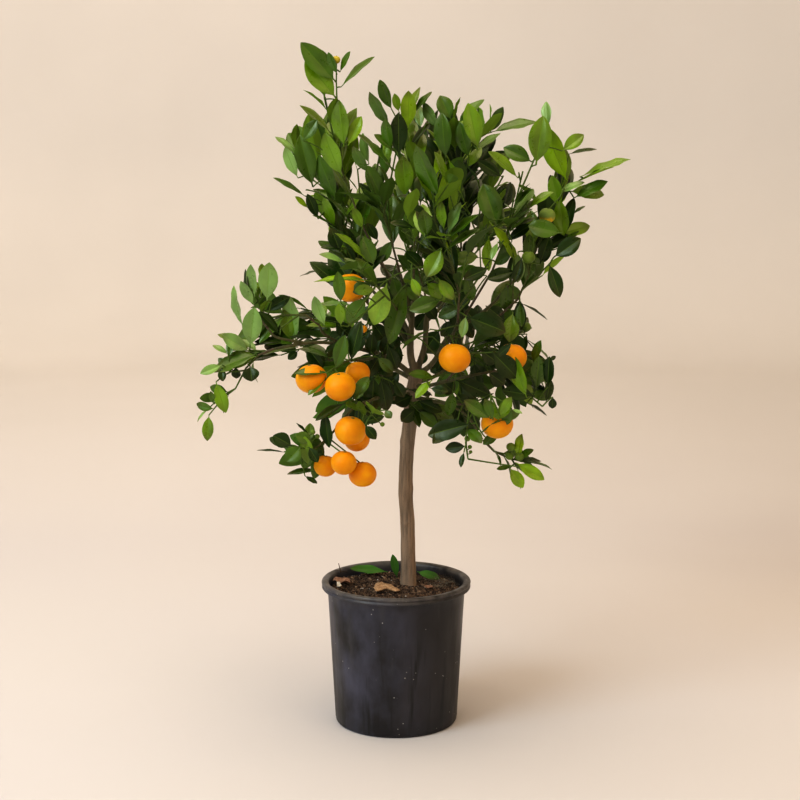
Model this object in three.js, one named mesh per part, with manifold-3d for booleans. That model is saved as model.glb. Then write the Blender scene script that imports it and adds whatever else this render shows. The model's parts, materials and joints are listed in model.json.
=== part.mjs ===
// Calamondin orange tree: a short standard with a clear trunk, in a black nursery pot.
// Millimetres, +Z up. The origin is the middle of the pot's flat underside.
//
// The tree is worked out in three stages. The trunk and the boughs are tapering tubes on smooth
// paths. Each mass of foliage then grows from its bough's tip: a stem, shoots round the stem, and
// leaves round every shoot, all by one seeded rule. A mass keeps to its own space, and a shoot or
// leaf that would leave that space, or come near a limb or a fruit, is skipped.

import * as THREE from "three";
import { mergeVertices } from "three/addons/utils/BufferGeometryUtils.js";
import Module from "manifold-3d";

const wasm = await Module();
wasm.setup();

// ---------------------------------------------------------------- driving sizes

const GAP = 0.3; // clearance between pieces that meet
const FINEST_EDGE = 0.01; // shorter edges are closed up
const TWIN_CORNERS = 0.003; // corners of different edges stay this far apart

const POT = {
  height: 184,
  lipRadius: 95,
  lipDepth: 9.5,
  bodyTopRadius: 87.3,
  bodyFootRadius: 78.3,
  footRound: 2.5,
  wall: 1.9,
  floor: 3,
  sides: 36,
  drainHoles: 8,
  drainRadius: 6,
  drainCircle: 58,
};

const SOIL = { top: 169, edgeDrop: 3, moundRadius: 34, sides: 24 };

// The trunk's centreline and radius, from the flat cut at the soil to the fork.
const TRUNK = [
  { at: [15.5, 8.8, SOIL.top + GAP], radius: 12.4 },
  { at: [15.6, 8.8, 176], radius: 10.6 },
  { at: [15.5, 8.8, 206], radius: 9.5 },
  { at: [14.3, 8.6, 259], radius: 9.2 },
  { at: [12.0, 8.8, 302], radius: 9.1 },
  { at: [13.8, 9.2, 350], radius: 8.9 },
  { at: [17.6, 9.0, 386], radius: 9.2 },
  { at: [20.6, 8.8, 418], radius: 9.6 },
  { at: [24.0, 9.0, 440], radius: 8.6 },
  { at: [25.5, 9.0, 449], radius: 6.2 },
];

// Each bough is one tapering limb. It starts inside its parent, at that share of the parent's
// length, and runs through the points given to the place where its mass of foliage begins.
const BOUGHS = {
  left_limb: {
    parent: "trunk", from: 0.96, radius: [5.2, 3.1],
    through: [[18, 5, 472], [19, 2, 505], [21, -3, 540]],
  },
  leader_bough: {
    parent: "left_limb", from: 0.86, radius: [2.9, 2.2],
    through: [[2, -6, 550], [-16, -12, 582]],
  },
  front_top_bough: {
    parent: "left_limb", from: 0.8, radius: [2.7, 2.1],
    through: [[14, -28, 544], [6, -48, 574]],
  },
  back_top_left_bough: {
    parent: "left_limb", from: 0.72, radius: [2.8, 2.1],
    through: [[8, 34, 532], [-6, 62, 560]],
  },
  left_middle_bough: {
    parent: "left_limb", from: 0.46, radius: [2.8, 2.1],
    through: [[0, -22, 510], [-24, -44, 528]],
  },
  left_top_bough: {
    parent: "left_limb", from: 0.6, radius: [2.8, 2.1],
    through: [[-8, 10, 528], [-32, 18, 554]],
  },
  centre_front_bough: {
    parent: "left_limb", from: 0.5, radius: [2.8, 2.0],
    through: [[14, -36, 508], [8, -72, 526]],
  },
  right_limb: {
    parent: "trunk", from: 0.975, radius: [4.2, 2.7],
    through: [[36, 12, 483], [38, 14, 515], [46, 17, 548]],
  },
  top_right_inner_bough: {
    parent: "right_limb", from: 0.76, radius: [2.6, 2.0],
    through: [[60, 2, 544], [78, -12, 572]],
  },
  back_top_right_bough: {
    parent: "right_limb", from: 0.64, radius: [2.7, 2.0],
    through: [[60, 46, 532], [74, 76, 560]],
  },
  back_middle_bough: {
    parent: "right_limb", from: 0.4, radius: [2.7, 2.0],
    through: [[40, 48, 506], [40, 84, 524]],
  },
  outer_limb: {
    parent: "trunk", from: 0.93, radius: [3.8, 2.4],
    through: [[46, 2, 462], [63, -8, 494], [90, -20, 532]],
  },
  right_outer_bough: {
    parent: "outer_limb", from: 0.74, radius: [2.5, 1.9],
    through: [[110, -2, 528], [138, 0, 556]],
  },
  right_middle_bough: {
    parent: "outer_limb", from: 0.6, radius: [2.4, 1.8],
    through: [[96, -38, 510], [126, -54, 528]],
  },
  centre_right_bough: {
    parent: "outer_limb", from: 0.42, radius: [2.5, 1.9],
    through: [[68, -42, 500], [74, -76, 522]],
  },
  arm_limb: {
    parent: "trunk", from: 0.9, radius: [3.8, 1.8],
    through: [[-4, -4, 466], [-42, -35, 484], [-94, -62, 496], [-146, -78, 490]],
  },
  arm_inner_bough: {
    parent: "arm_limb", from: 0.6, radius: [2.0, 1.7],
    through: [[-86, -68, 506], [-92, -76, 518]],
  },
  arm_outer_bough: {
    parent: "arm_limb", from: 0.82, radius: [1.9, 1.6],
    through: [[-142, -82, 504], [-152, -86, 514]],
  },
  left_fruit_bough: {
    parent: "arm_limb", from: 0.36, radius: [2.5, 1.9],
    through: [[-34, -54, 474], [-54, -78, 476]],
  },
  left_back_bough: {
    parent: "trunk", from: 0.88, radius: [3.2, 2.1],
    through: [[-10, 30, 456], [-42, 62, 486]],
  },
  hanging_bough: {
    parent: "trunk", from: 0.8, radius: [3.2, 1.8],
    through: [[-4, -20, 420], [-24, -52, 426], [-42, -80, 420]],
  },
  low_sprig_bough: {
    parent: "hanging_bough", from: 0.6, radius: [2.0, 1.6],
    through: [[-50, -60, 416], [-78, -92, 388]],
  },
  right_inner_bough: {
    parent: "trunk", from: 0.84, radius: [3.2, 2.0],
    through: [[42, -15, 436], [62, -40, 446]],
  },
  right_sprig_bough: {
    parent: "right_inner_bough", from: 0.55, radius: [2.3, 1.8],
    through: [[88, -34, 450], [118, -46, 458]],
  },
  right_fruit_bough: {
    parent: "trunk", from: 0.78, radius: [3.0, 1.8],
    through: [[50, -32, 418], [76, -64, 420]],
  },
  right_hanging_bough: {
    parent: "right_fruit_bough", from: 0.66, radius: [1.8, 1.4],
    through: [[86, -46, 404], [106, -62, 376]],
  },
  back_low_left_bough: {
    parent: "trunk", from: 0.8, radius: [3.2, 2.0],
    through: [[0, 38, 428], [-22, 68, 440]],
  },
  back_low_right_bough: {
    parent: "trunk", from: 0.86, radius: [3.2, 2.0],
    through: [[46, 40, 438], [70, 68, 448]],
  },
};

// Each mass of foliage, as it differs from the usual one: the bough its stem grows on from, the
// stem's far end, its shoots' length, how far they open from the stem (degrees) and how strongly
// they lift (negative where they hang), its leaves' length, the reach of its own space, and its
// fruit as [x, y, z, diameter].
const USUAL = {
  shoot: 66, // mm
  open: 42, // degrees from the stem
  lift: 0.4,
  leaf: 60, // mm
  space: 62, // mm
  bare: 0.08, // share of the stem below its first shoot
  apart: 25, // mm of stem for each shoot
  leafApart: 18, // mm of shoot for each leaf
};

const MASSES = {
  leader: {
    on: "leader_bough", tip: [-86, -27, 787], seed: 484,
    shoot: 64, open: 32, lift: 0.82, leaf: 55, space: 65, apart: 31, leafApart: 16,
  },
  left_top: {
    on: "left_top_bough", tip: [-65, 10, 729], seed: 54,
    shoot: 70, open: 30, lift: 0.6, leaf: 65, space: 70, apart: 26, leafApart: 17,
  },
  front_top: {
    on: "front_top_bough", tip: [-35, -72, 743], seed: 505,
    shoot: 73, open: 35, lift: 0.9, leaf: 71, space: 64, leafApart: 19,
  },
  middle_top: {
    on: "left_limb", tip: [13, 12, 754], seed: 566,
    shoot: 71, open: 26, lift: -0.21, leaf: 76, space: 67, apart: 26, leafApart: 21,
  },
  right_top: {
    on: "right_limb", tip: [82, -37, 739], seed: 4,
    shoot: 81, lift: 0.9, leaf: 61, space: 70,
  },
  top_right_inner: {
    on: "top_right_inner_bough", tip: [104, -44, 695], seed: 585,
    shoot: 69, open: 50, lift: 0.9, leaf: 63, space: 75,
  },
  top_right: {
    on: "outer_limb", tip: [154, -61, 714], seed: 799,
    shoot: 79, open: 35, lift: 0.25, leaf: 58, space: 73,
  },
  right_outer: {
    on: "right_outer_bough", tip: [205, -12, 692], seed: 630,
    shoot: 58, open: 57, lift: 0.9, leaf: 59,
  },
  back_top_left: {
    on: "back_top_left_bough", tip: [-99, 120, 704], seed: 306,
    shoot: 103, open: 33, lift: 0.41, leaf: 68, space: 65, apart: 28, leafApart: 23,
  },
  back_top_right: {
    on: "back_top_right_bough", tip: [70, 124, 717], seed: 773,
    shoot: 84, open: 57, lift: 0.08, leaf: 76, space: 85, leafApart: 21,
  },
  centre_front: {
    on: "centre_front_bough", tip: [-52, -150, 600], seed: 717,
    shoot: 75, open: 55, lift: -0.31, leaf: 65, space: 57,
    fruits: [[-54, -95, 565, 37]],
  },
  centre_right: {
    on: "centre_right_bough", tip: [31, -142, 679], seed: 512,
    shoot: 98, open: 41, lift: 0.21, leaf: 81, space: 88, leafApart: 16,
  },
  left_middle: {
    on: "left_middle_bough", tip: [-36, -77, 658], seed: 572,
    shoot: 36, open: 30, lift: -0.03, leaf: 71, space: 57, leafApart: 15,
  },
  right_middle: {
    on: "right_middle_bough", tip: [165, -70, 623], seed: 872,
    shoot: 44, open: 43, lift: 0.71, leaf: 57, space: 77, leafApart: 16,
  },
  back_middle: {
    on: "back_middle_bough", tip: [4, 150, 624], seed: 256,
    shoot: 88, open: 51, lift: -0.33, leaf: 75, space: 93, apart: 32, leafApart: 21,
  },
  left_back: {
    on: "left_back_bough", tip: [-125, 113, 519], seed: 203,
    shoot: 94, open: 46, lift: -0.52, leaf: 67, space: 60, leafApart: 16,
  },
  arm_inner: {
    on: "arm_inner_bough", tip: [-173, -84, 521], seed: 358,
    shoot: 28, open: 46, lift: 0.01, leaf: 48, space: 47, apart: 21, leafApart: 20,
  },
  arm_outer: {
    on: "arm_outer_bough", tip: [-158, -92, 559], seed: 179,
    shoot: 34, open: 53, lift: 0.05, leaf: 41, space: 47, apart: 16,
  },
  arm_tip: {
    on: "arm_limb", tip: [-192, -94, 444], seed: 119,
    shoot: 21, open: 24, lift: 0.83, leaf: 39, space: 39, leafApart: 16,
  },
  left_fruit: {
    on: "left_fruit_bough", tip: [-66, -100, 473], seed: 227,
    shoot: 26, open: 51, lift: 0.08, leaf: 59, apart: 12, leafApart: 21,
    fruits: [[-101, -95, 456, 38], [-66, -112, 449, 37], [-46, -80, 461, 30]],
  },
  left_hanging: {
    on: "hanging_bough", tip: [-44, -104, 459], seed: 322,
    shoot: 51, open: 54, lift: 0.04, leaf: 65, space: 51, apart: 20, leafApart: 19,
    fruits: [[-54, -118, 397, 37.5], [-47, -88, 381, 31]],
  },
  low_sprig: {
    on: "low_sprig_bough", tip: [-114, -106, 362], seed: 365,
    shoot: 33, open: 58, lift: -0.04, leaf: 51, space: 47, leafApart: 20,
    fruits: [[-62, -122, 359, 31], [-40, -106, 342, 33.5], [-85, -96, 350, 28]],
  },
  fork_leaves: {
    on: "trunk", tip: [-5, -46, 445], seed: 164,
    shoot: 23, open: 64, lift: -0.08, leaf: 56, space: 32, apart: 19, leafApart: 15, start: 0.74,
  },
  right_inner: {
    on: "right_inner_bough", tip: [65, -79, 575], seed: 839,
    shoot: 61, open: 66, lift: -0.43, space: 75, apart: 13, leafApart: 21,
    fruits: [[70, -96, 481, 38.5]],
  },
  right_sprig: {
    on: "right_sprig_bough", tip: [136, -60, 455], seed: 259,
    shoot: 69, open: 32, lift: 0.06, leaf: 75, space: 60, apart: 24, leafApart: 15,
    fruits: [[140, -72, 479, 36]],
  },
  right_fruit: {
    on: "right_fruit_bough", tip: [122, -96, 442], seed: 438,
    shoot: 62, open: 59, lift: -0.43, leaf: 55, space: 41, apart: 12,
    fruits: [[121, -104, 403, 38.5]],
  },
  right_hanging: {
    on: "right_hanging_bough", tip: [164, -76, 350], seed: 884,
    shoot: 17, open: 39, lift: -0.59, leaf: 32, space: 44, apart: 27, leafApart: 16, bare: 0.3,
  },
  back_low_left: {
    on: "back_low_left_bough", tip: [-82, 138, 407], seed: 889,
    shoot: 39, open: 55, lift: -0.57, leaf: 69, space: 72, apart: 21, leafApart: 21,
  },
  back_low_right: {
    on: "back_low_right_bough", tip: [142, 131, 476], seed: 448,
    shoot: 59, open: 62, lift: -0.61, leaf: 69, space: 72, apart: 18, leafApart: 16,
  },
};

const UP = new THREE.Vector3(0, 0, 1);
const GOLDEN_TURN = (137.5 * Math.PI) / 180;

const TWIG = { radius: 1.7, shootRadius: 1.3, tipRadius: 1, sides: 3, stemSteps: 3, tries: 4 };
const LEAF = {
  open: 44, // degrees from the shoot
  width: 0.47, // share of its length
  thick: 0.022, // share of its length, at the middle
  curl: 0.1, // how far the tip bends back, as a share of its length
  sunk: 0.6, // mm inside the twig's end
  tries: 5,
};
const FRUIT = { oblate: 0.92, stalkRadius: 0.9, sunk: 4, show: 0.5, widen: 0.42 };
const KEEP = { space: 0.6, limb: 6.5, shoot: 3.4, leaf: 3.5, fruit: 2.5 };

// ---------------------------------------------------------------- small helpers

const vector = (p) => new THREE.Vector3(p[0], p[1], p[2]);
const radians = (degrees) => (degrees * Math.PI) / 180;
const between = (low, high, share) => low + (high - low) * share;

// A repeatable stream of numbers from 0 to 1.
function seeded(seed) {
  let state = (seed * 2654435761) % 4294967296;
  return () => {
    state = (state * 1664525 + 1013904223) % 4294967296;
    return state / 4294967296;
  };
}

// A smooth path through points, as [position, direction] at each share of its length.
function smoothPath(points) {
  const last = points.length - 1;
  const before = points[0].clone().multiplyScalar(2).sub(points[1]);
  const after = points[last].clone().multiplyScalar(2).sub(points[last - 1]);
  const knots = [before, ...points, after];
  return (share) => {
    const along = Math.min(Math.max(share, 0), 1) * last;
    const k = Math.min(Math.floor(along), last - 1);
    const t = along - k;
    const [a, b, c, d] = knots.slice(k, k + 4);
    const blend = (wa, wb, wc, wd) =>
      new THREE.Vector3()
        .addScaledVector(a, wa)
        .addScaledVector(b, wb)
        .addScaledVector(c, wc)
        .addScaledVector(d, wd);
    const t2 = t * t;
    const t3 = t2 * t;
    const at = blend(
      -0.5 * t3 + t2 - 0.5 * t,
      1.5 * t3 - 2.5 * t2 + 1,
      -1.5 * t3 + 2 * t2 + 0.5 * t,
      0.5 * t3 - 0.5 * t2,
    );
    const heading = blend(
      -1.5 * t2 + 2 * t - 0.5,
      4.5 * t2 - 5 * t,
      -4.5 * t2 + 4 * t + 0.5,
      1.5 * t2 - t,
    ).normalize();
    return [at, heading];
  };
}

// A twig: a path in straight steps, as [position, heading, side] at each share of its length. The
// side is square to the heading and points to one corner of the twig's three-sided section.
function twigThrough(knots, radius, tipRadius) {
  const steps = knots.length - 1;
  const headings = knots.slice(1).map((knot, k) => knot.clone().sub(knots[k]).normalize());
  const sides = [squareTo(headings[0])];
  for (const heading of headings.slice(1)) sides.push(turnedTo(heading, sides.at(-1)));
  const length = knots.slice(1).reduce((sum, knot, k) => sum + knot.distanceTo(knots[k]), 0);
  const path = (share) => {
    const along = Math.min(Math.max(share, 0), 1) * steps;
    const k = Math.min(Math.floor(along), steps - 1);
    return [knots[k].clone().lerp(knots[k + 1], along - k), headings[k].clone(), sides[k].clone()];
  };
  return { path, length, steps, radiusAt: (share) => between(radius, tipRadius, share) };
}

// The knots of a bend that leaves a towards b and arrives at c.
function bendKnots(a, b, c, steps) {
  return Array.from({ length: steps + 1 }, (_, k) => {
    const share = k / steps;
    const rest = 1 - share;
    return new THREE.Vector3()
      .addScaledVector(a, rest * rest)
      .addScaledVector(b, 2 * rest * share)
      .addScaledVector(c, share * share);
  });
}

// A direction square to a heading.
function squareTo(heading) {
  const reference = Math.abs(heading.z) > 0.9 ? new THREE.Vector3(1, 0, 0) : UP;
  return new THREE.Vector3().crossVectors(heading, reference).normalize();
}

// The same side, brought square to a new heading.
function turnedTo(heading, side) {
  return side.clone().addScaledVector(heading, -side.dot(heading)).normalize();
}

// The direction square to a heading, at a turn round it from a side.
function radial(heading, side, turn) {
  const other = new THREE.Vector3().crossVectors(heading, side);
  return side.clone().multiplyScalar(Math.cos(turn)).addScaledVector(other, Math.sin(turn));
}

// ---------------------------------------------------------------- solids

function solidOf(geometry) {
  const bare = new THREE.BufferGeometry();
  bare.setAttribute("position", geometry.getAttribute("position"));
  if (geometry.index) bare.setIndex(geometry.index);
  const merged = mergeVertices(bare, 1e-3);
  return new wasm.Manifold(
    new wasm.Mesh({
      numProp: 3,
      vertProperties: merged.attributes.position.array,
      triVerts: new Uint32Array(merged.index.array),
    }),
  );
}

function geometryOf(solid) {
  const mesh = solid.getMesh();
  const positions = new Float32Array(mesh.numVert * 3);
  for (let i = 0; i < mesh.numVert; i++)
    for (let axis = 0; axis < 3; axis++)
      positions[3 * i + axis] = mesh.vertProperties[i * mesh.numProp + axis];
  const geometry = new THREE.BufferGeometry();
  geometry.setAttribute("position", new THREE.BufferAttribute(positions, 3));
  geometry.setIndex(new THREE.BufferAttribute(new Uint32Array(mesh.triVerts), 1));
  return geometry;
}

// The largest body of a solid, without any loose scrap that a cut left.
function mainBody(solid) {
  return solid.decompose().reduce((most, one) => (one.volume() > most.volume() ? one : most));
}

// A closed tube along a path, with a radius for each share of its length.
function tube({ path, radiusAt, steps }, sides, grow = 0) {
  const points = [];
  const faces = [];
  let side = null;
  for (let k = 0; k <= steps; k++) {
    const [at, heading] = path(k / steps);
    side = side ? turnedTo(heading, side) : squareTo(heading);
    for (let i = 0; i < sides; i++) {
      const out = radial(heading, side, (2 * Math.PI * i) / sides);
      points.push(at.clone().addScaledVector(out, radiusAt(k / steps) + grow));
    }
  }
  for (let k = 0; k < steps; k++)
    for (let i = 0; i < sides; i++) {
      const [a, b] = [k * sides + i, k * sides + ((i + 1) % sides)];
      faces.push(a, b, b + sides, a, b + sides, a + sides);
    }
  const end = steps * sides;
  for (let i = 1; i < sides - 1; i++) faces.push(0, i + 1, i, end, end + i, end + i + 1);
  const geometry = new THREE.BufferGeometry().setFromPoints(points);
  geometry.setIndex(faces);
  return solidOf(geometry);
}

// ---------------------------------------------------------------- pot and soil

function potProfile() {
  const lipFoot = POT.height - POT.lipDepth;
  const inner = POT.bodyTopRadius - POT.wall;
  const innerFoot = POT.bodyFootRadius - POT.wall;
  return [
    [0, 0],
    [POT.bodyFootRadius - POT.footRound, 0],
    [POT.bodyFootRadius, POT.footRound],
    [POT.bodyTopRadius, lipFoot - 2],
    [POT.lipRadius - 2.2, lipFoot],
    [POT.lipRadius, lipFoot + 2.2],
    [POT.lipRadius - 0.4, POT.height - 2.6],
    [POT.lipRadius - 2.4, POT.height - 0.4],
    [POT.lipRadius - 4.8, POT.height],
    [inner + 1.2, POT.height - 1.6],
    [inner, POT.height - 5],
    [innerFoot, POT.floor],
    [0, POT.floor],
  ].map(([r, z]) => new THREE.Vector2(r, z));
}

function potSolid() {
  const shell = solidOf(new THREE.LatheGeometry(potProfile(), POT.sides));
  const drains = Array.from({ length: POT.drainHoles }, (_, k) => {
    const hole = new THREE.CylinderGeometry(POT.drainRadius, POT.drainRadius, 4 * POT.floor, 6);
    const turn = (2 * Math.PI * k) / POT.drainHoles;
    hole.translate(POT.drainCircle * Math.cos(turn), 0, POT.drainCircle * Math.sin(turn));
    return solidOf(hole);
  });
  return shell.subtract(wasm.Manifold.union(drains));
}

function innerRadius(z) {
  const share = (z - POT.floor) / (POT.height - 5 - POT.floor);
  return between(POT.bodyFootRadius, POT.bodyTopRadius, share) - POT.wall - GAP - 0.2;
}

// The compost fills the pot to a low mound that rises to the trunk's foot.
function soilSolid() {
  const foot = POT.floor + GAP;
  const edge = SOIL.top - SOIL.edgeDrop;
  const profile = [
    [0, foot],
    [innerRadius(foot), foot],
    [innerRadius(edge), edge],
    [innerRadius(edge) - 12, edge + 0.8],
    [SOIL.moundRadius, SOIL.top],
    [0, SOIL.top],
  ].map(([r, z]) => new THREE.Vector2(r, z));
  return solidOf(new THREE.LatheGeometry(profile, SOIL.sides));
}

// ---------------------------------------------------------------- trunk and boughs

function growLimbs() {
  const limbs = {};
  const radiusOn = (rows) => (share) => {
    const along = share * (rows.length - 1);
    const k = Math.min(Math.floor(along), rows.length - 2);
    return between(rows[k].radius, rows[k + 1].radius, along - k);
  };
  limbs.trunk = {
    path: smoothPath(TRUNK.map((row) => vector(row.at))),
    radiusAt: radiusOn(TRUNK),
    sides: 10,
    steps: 11,
  };
  for (const [name, bough] of Object.entries(BOUGHS)) {
    const start = limbs[bough.parent].path(bough.from)[0];
    const points = [start, ...bough.through.map(vector)];
    limbs[name] = {
      path: smoothPath(points),
      radiusAt: (share) => between(bough.radius[0], bough.radius[1], share),
      sides: 5,
      steps: bough.through.length,
      parent: bough.parent,
    };
  }
  return limbs;
}

// Each limb is cut clear of the limbs made before it, so that neighbours meet face to face.
function limbSolids(limbs) {
  const solids = {};
  const grown = [];
  for (const [name, limb] of Object.entries(limbs)) {
    const whole = tube(limb, limb.sides);
    solids[name] = grown.length ? mainBody(whole.subtract(wasm.Manifold.union(grown))) : whole;
    grown.push(tube(limb, limb.sides, GAP));
  }
  return solids;
}

// ---------------------------------------------------------------- masses of foliage

// The stem goes on from its limb's tip and bends to its own far end. Its foot is square to its
// first step, so it stands off by as much more as that step leans.
function growStem(mass, limbs) {
  const limb = limbs[mass.on];
  let [start, heading] = limb.path(mass.start ?? 1);
  const tip = vector(mass.tip);
  if (mass.start) {
    heading = tip.clone().sub(start).normalize();
    start.addScaledVector(heading, limb.radiusAt(mass.start) + 1);
  }
  const bend = () => {
    const towards = start.clone().addScaledVector(heading, 0.45 * start.distanceTo(tip));
    return bendKnots(start, towards, tip, TWIG.stemSteps);
  };
  start.addScaledVector(heading, GAP);
  const [foot, next] = bend();
  const lean = next.sub(foot).normalize().cross(heading).length(); // sine of its first turn
  start.addScaledVector(heading, lean * TWIG.radius);
  return twigThrough(bend(), TWIG.radius, TWIG.tipRadius);
}

// A shoot leaves the stem straight, at its own turn round it, and leans up or down by its lift.
function growShoot(mass, share, turn, size, draw) {
  const [start, heading, side] = mass.stem.path(share);
  const open = radians(mass.open) * (0.8 + 0.4 * draw());
  const length = mass.shoot * size * (1.1 - 0.35 * share) * (0.8 + 0.4 * draw());
  const end = radial(heading, side, turn + 0.9 * draw())
    .multiplyScalar(Math.sin(open))
    .addScaledVector(heading, Math.cos(open))
    .addScaledVector(UP, 0.6 * mass.lift)
    .normalize()
    .multiplyScalar(length)
    .add(start);
  return twigThrough([start, end], TWIG.shootRadius, TWIG.tipRadius);
}

function growLeaf(mass, twig, share, turn, open, size, draw) {
  const [centre, heading, side] = twig.path(share);
  const angle = radians(open) * (0.75 + 0.5 * draw());
  const away = radial(heading, side, turn + 0.6 * (draw() - 0.5));
  const root = centre.addScaledVector(away, Math.sin(angle) * 0.3 * twig.radiusAt(share));
  const direction = heading
    .clone()
    .multiplyScalar(Math.cos(angle))
    .addScaledVector(away, Math.sin(angle))
    .addScaledVector(UP, 0.25 * mass.lift)
    .normalize();
  const upper = heading.clone().addScaledVector(UP, 0.7);
  upper.addScaledVector(direction, -upper.dot(direction)).normalize();
  const across = new THREE.Vector3().crossVectors(direction, upper);
  const roll = 0.9 * (draw() - 0.5);
  const normal = upper.multiplyScalar(Math.cos(roll)).addScaledVector(across, Math.sin(roll));
  const length = mass.leaf * size * (0.78 + 0.4 * draw());
  const width = length * LEAF.width * (0.9 + 0.2 * draw());
  const curl = LEAF.curl * (0.4 + 1.2 * draw());
  return { twig, root, direction, normal, length, width, curl };
}

// A point of a leaf, at a share of its length and of its half width.
function leafPoint(leaf, along, aside, above = 0) {
  const across = new THREE.Vector3().crossVectors(leaf.direction, leaf.normal);
  const height =
    above * leaf.length * LEAF.thick -
    leaf.curl * leaf.length * along * along;
  return leaf.root
    .clone()
    .addScaledVector(leaf.direction, leaf.length * along)
    .addScaledVector(across, (aside * leaf.width) / 2)
    .addScaledVector(leaf.normal, height);
}

const LEAF_OUTLINE = [[0, 0], [0.4, 1], [0.76, 0.78], [1, 0], [0.76, -0.78], [0.4, -1]];
const LEAF_UNDERSIDE = [[0, 5, 1], [1, 5, 4], [1, 4, 2], [2, 4, 3]];
const LEAF_MIDDLE = 0.54;

// A leaf is flat below and rises to a low middle above, so that it is a closed solid.
function leafSolid(leaf) {
  const rim = LEAF_OUTLINE.map(([along, aside]) => leafPoint(leaf, along, aside));
  const middle = rim.length;
  const above = rim.flatMap((_, k) => [k, (k + 1) % rim.length, middle]);
  const below = LEAF_UNDERSIDE.flat();
  const geometry = new THREE.BufferGeometry().setFromPoints([...rim, leafPoint(leaf, LEAF_MIDDLE, 0, 1)]);
  geometry.setIndex([...above, ...below]);
  return solidOf(geometry);
}

function fruitSolid(at, diameter) {
  const geometry = new THREE.IcosahedronGeometry(diameter / 2, 1);
  geometry.scale(1, 1, FRUIT.oblate);
  geometry.translate(at.x, at.y, at.z);
  return solidOf(geometry);
}

// The fruit hangs by a stalk from the nearest point of the mass's own twigs.
function growStalk(twigs, at, diameter) {
  const crown = at.clone().addScaledVector(UP, (diameter / 2) * FRUIT.oblate - FRUIT.sunk);
  let nearest = null;
  for (const twig of twigs)
    for (let k = 1; k <= 8; k++) {
      const [point] = twig.path(k / 8);
      const distance = point.distanceTo(crown);
      if (!nearest || distance < nearest.distance) nearest = { point, distance };
    }
  return twigThrough([nearest.point, crown], FRUIT.stalkRadius, FRUIT.stalkRadius);
}

// Everything that shoots and leaves keep clear of: limbs, stems and fruit.
function crownPlan() {
  const limbs = growLimbs();
  const plan = { limbs, masses: {}, rods: [], fruits: [] };
  const addRods = (owner, path, radiusAt, steps) => {
    for (let k = 0; k < steps; k++) {
      const a = path(k / steps)[0];
      const b = path((k + 1) / steps)[0];
      plan.rods.push({ owner, a, b, radius: radiusAt((k + 0.5) / steps) });
    }
  };
  for (const [name, limb] of Object.entries(limbs)) addRods(name, limb.path, limb.radiusAt, 8);
  for (const [name, row] of Object.entries(MASSES)) {
    const mass = { ...USUAL, ...row };
    const stem = growStem(mass, limbs);
    addRods(name, stem.path, () => TWIG.radius, 4);
    const site = stem.path(0.62)[0];
    plan.masses[name] = { ...mass, name, stem, site, weight: mass.space * mass.space };
    for (const [x, y, z, diameter] of mass.fruits ?? []) {
      const at = new THREE.Vector3(x, y, z);
      const outward = new THREE.Vector3(x - TRUNK[0].at[0], y - TRUNK[0].at[1], 0).normalize();
      plan.fruits.push({ at, outward, radius: diameter / 2 });
    }
  }
  return plan;
}

function rodDistance(point, rod) {
  const along = rod.b.clone().sub(rod.a);
  const share = point.clone().sub(rod.a).dot(along) / along.lengthSq();
  const nearest = rod.a.clone().addScaledVector(along, Math.min(Math.max(share, 0), 1));
  return point.distanceTo(nearest) - rod.radius;
}

// A mass's space is a cell between flat walls, each square to the line to a neighbour's middle.
function inSpace(point, mass, plan, margin) {
  const own = point.distanceToSquared(mass.site) - mass.weight;
  return Object.values(plan.masses).every((other) => {
    if (other.name === mass.name) return true;
    const theirs = point.distanceToSquared(other.site) - other.weight;
    const wall = (theirs - own) / (2 * other.site.distanceTo(mass.site));
    return wall > margin;
  });
}

function clearOfRods(point, mass, plan, clearance) {
  return plan.rods.every((rod) => rod.owner === mass.name || rodDistance(point, rod) > clearance);
}

// Fruit hangs where light and hand reach it: nothing crosses a cone that opens outwards from it.
function clearOfFruit(point, plan, clearance) {
  return plan.fruits.every((fruit) => {
    const offset = point.clone().sub(fruit.at);
    if (offset.length() < fruit.radius + clearance) return false;
    const ahead = offset.dot(fruit.outward);
    const aside = offset.addScaledVector(fruit.outward, -ahead).length();
    return ahead < 0 || aside > FRUIT.show * fruit.radius + FRUIT.widen * ahead;
  });
}

function shootFits(shoot, mass, plan) {
  for (let k = 2; k <= 12; k++) {
    const [point] = shoot.path(k / 12);
    if (!inSpace(point, mass, plan, KEEP.space + TWIG.radius)) return false;
    if (!clearOfRods(point, mass, plan, KEEP.shoot)) return false;
    if (!clearOfFruit(point, plan, KEEP.fruit + TWIG.radius)) return false;
  }
  return true;
}

// Whether the segment between two points passes through a triangle.
function pierces(from, to, [a, b, c]) {
  const ray = new THREE.Ray(from, to.clone().sub(from).normalize());
  const hit = ray.intersectTriangle(a, b, c, false, new THREE.Vector3());
  return hit !== null && hit.distanceTo(from) < to.distanceTo(from);
}

const rimEdges = (leaf) => leaf.rim.map((point, k) => [point, leaf.rim[(k + 1) % leaf.rim.length]]);
const rimFaces = (leaf) => LEAF_UNDERSIDE.map((corners) => corners.map((k) => leaf.rim[k]));

function leavesCross(one, other) {
  const through = (edges, faces) =>
    edges.some(([from, to]) => faces.some((face) => pierces(from, to, face)));
  return through(one.edges, other.faces) || through(other.edges, one.faces);
}

function twigCrosses(twig, leaf) {
  for (let k = 0; k < twig.steps; k++) {
    const from = twig.path(k / twig.steps)[0];
    const to = twig.path((k + 1) / twig.steps)[0];
    if (leaf.faces.some((face) => pierces(from, to, face))) return true;
  }
  return false;
}

const LEAF_PROBES = [
  [0.22, 0], [0.4, 1], [0.4, -1], [0.42, 0], [0.6, 0], [0.76, 0.78], [0.76, -0.78], [0.8, 0], [1, 0],
];
const LEAF_SPINE = [0.3, 0.6, 0.95];

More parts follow.
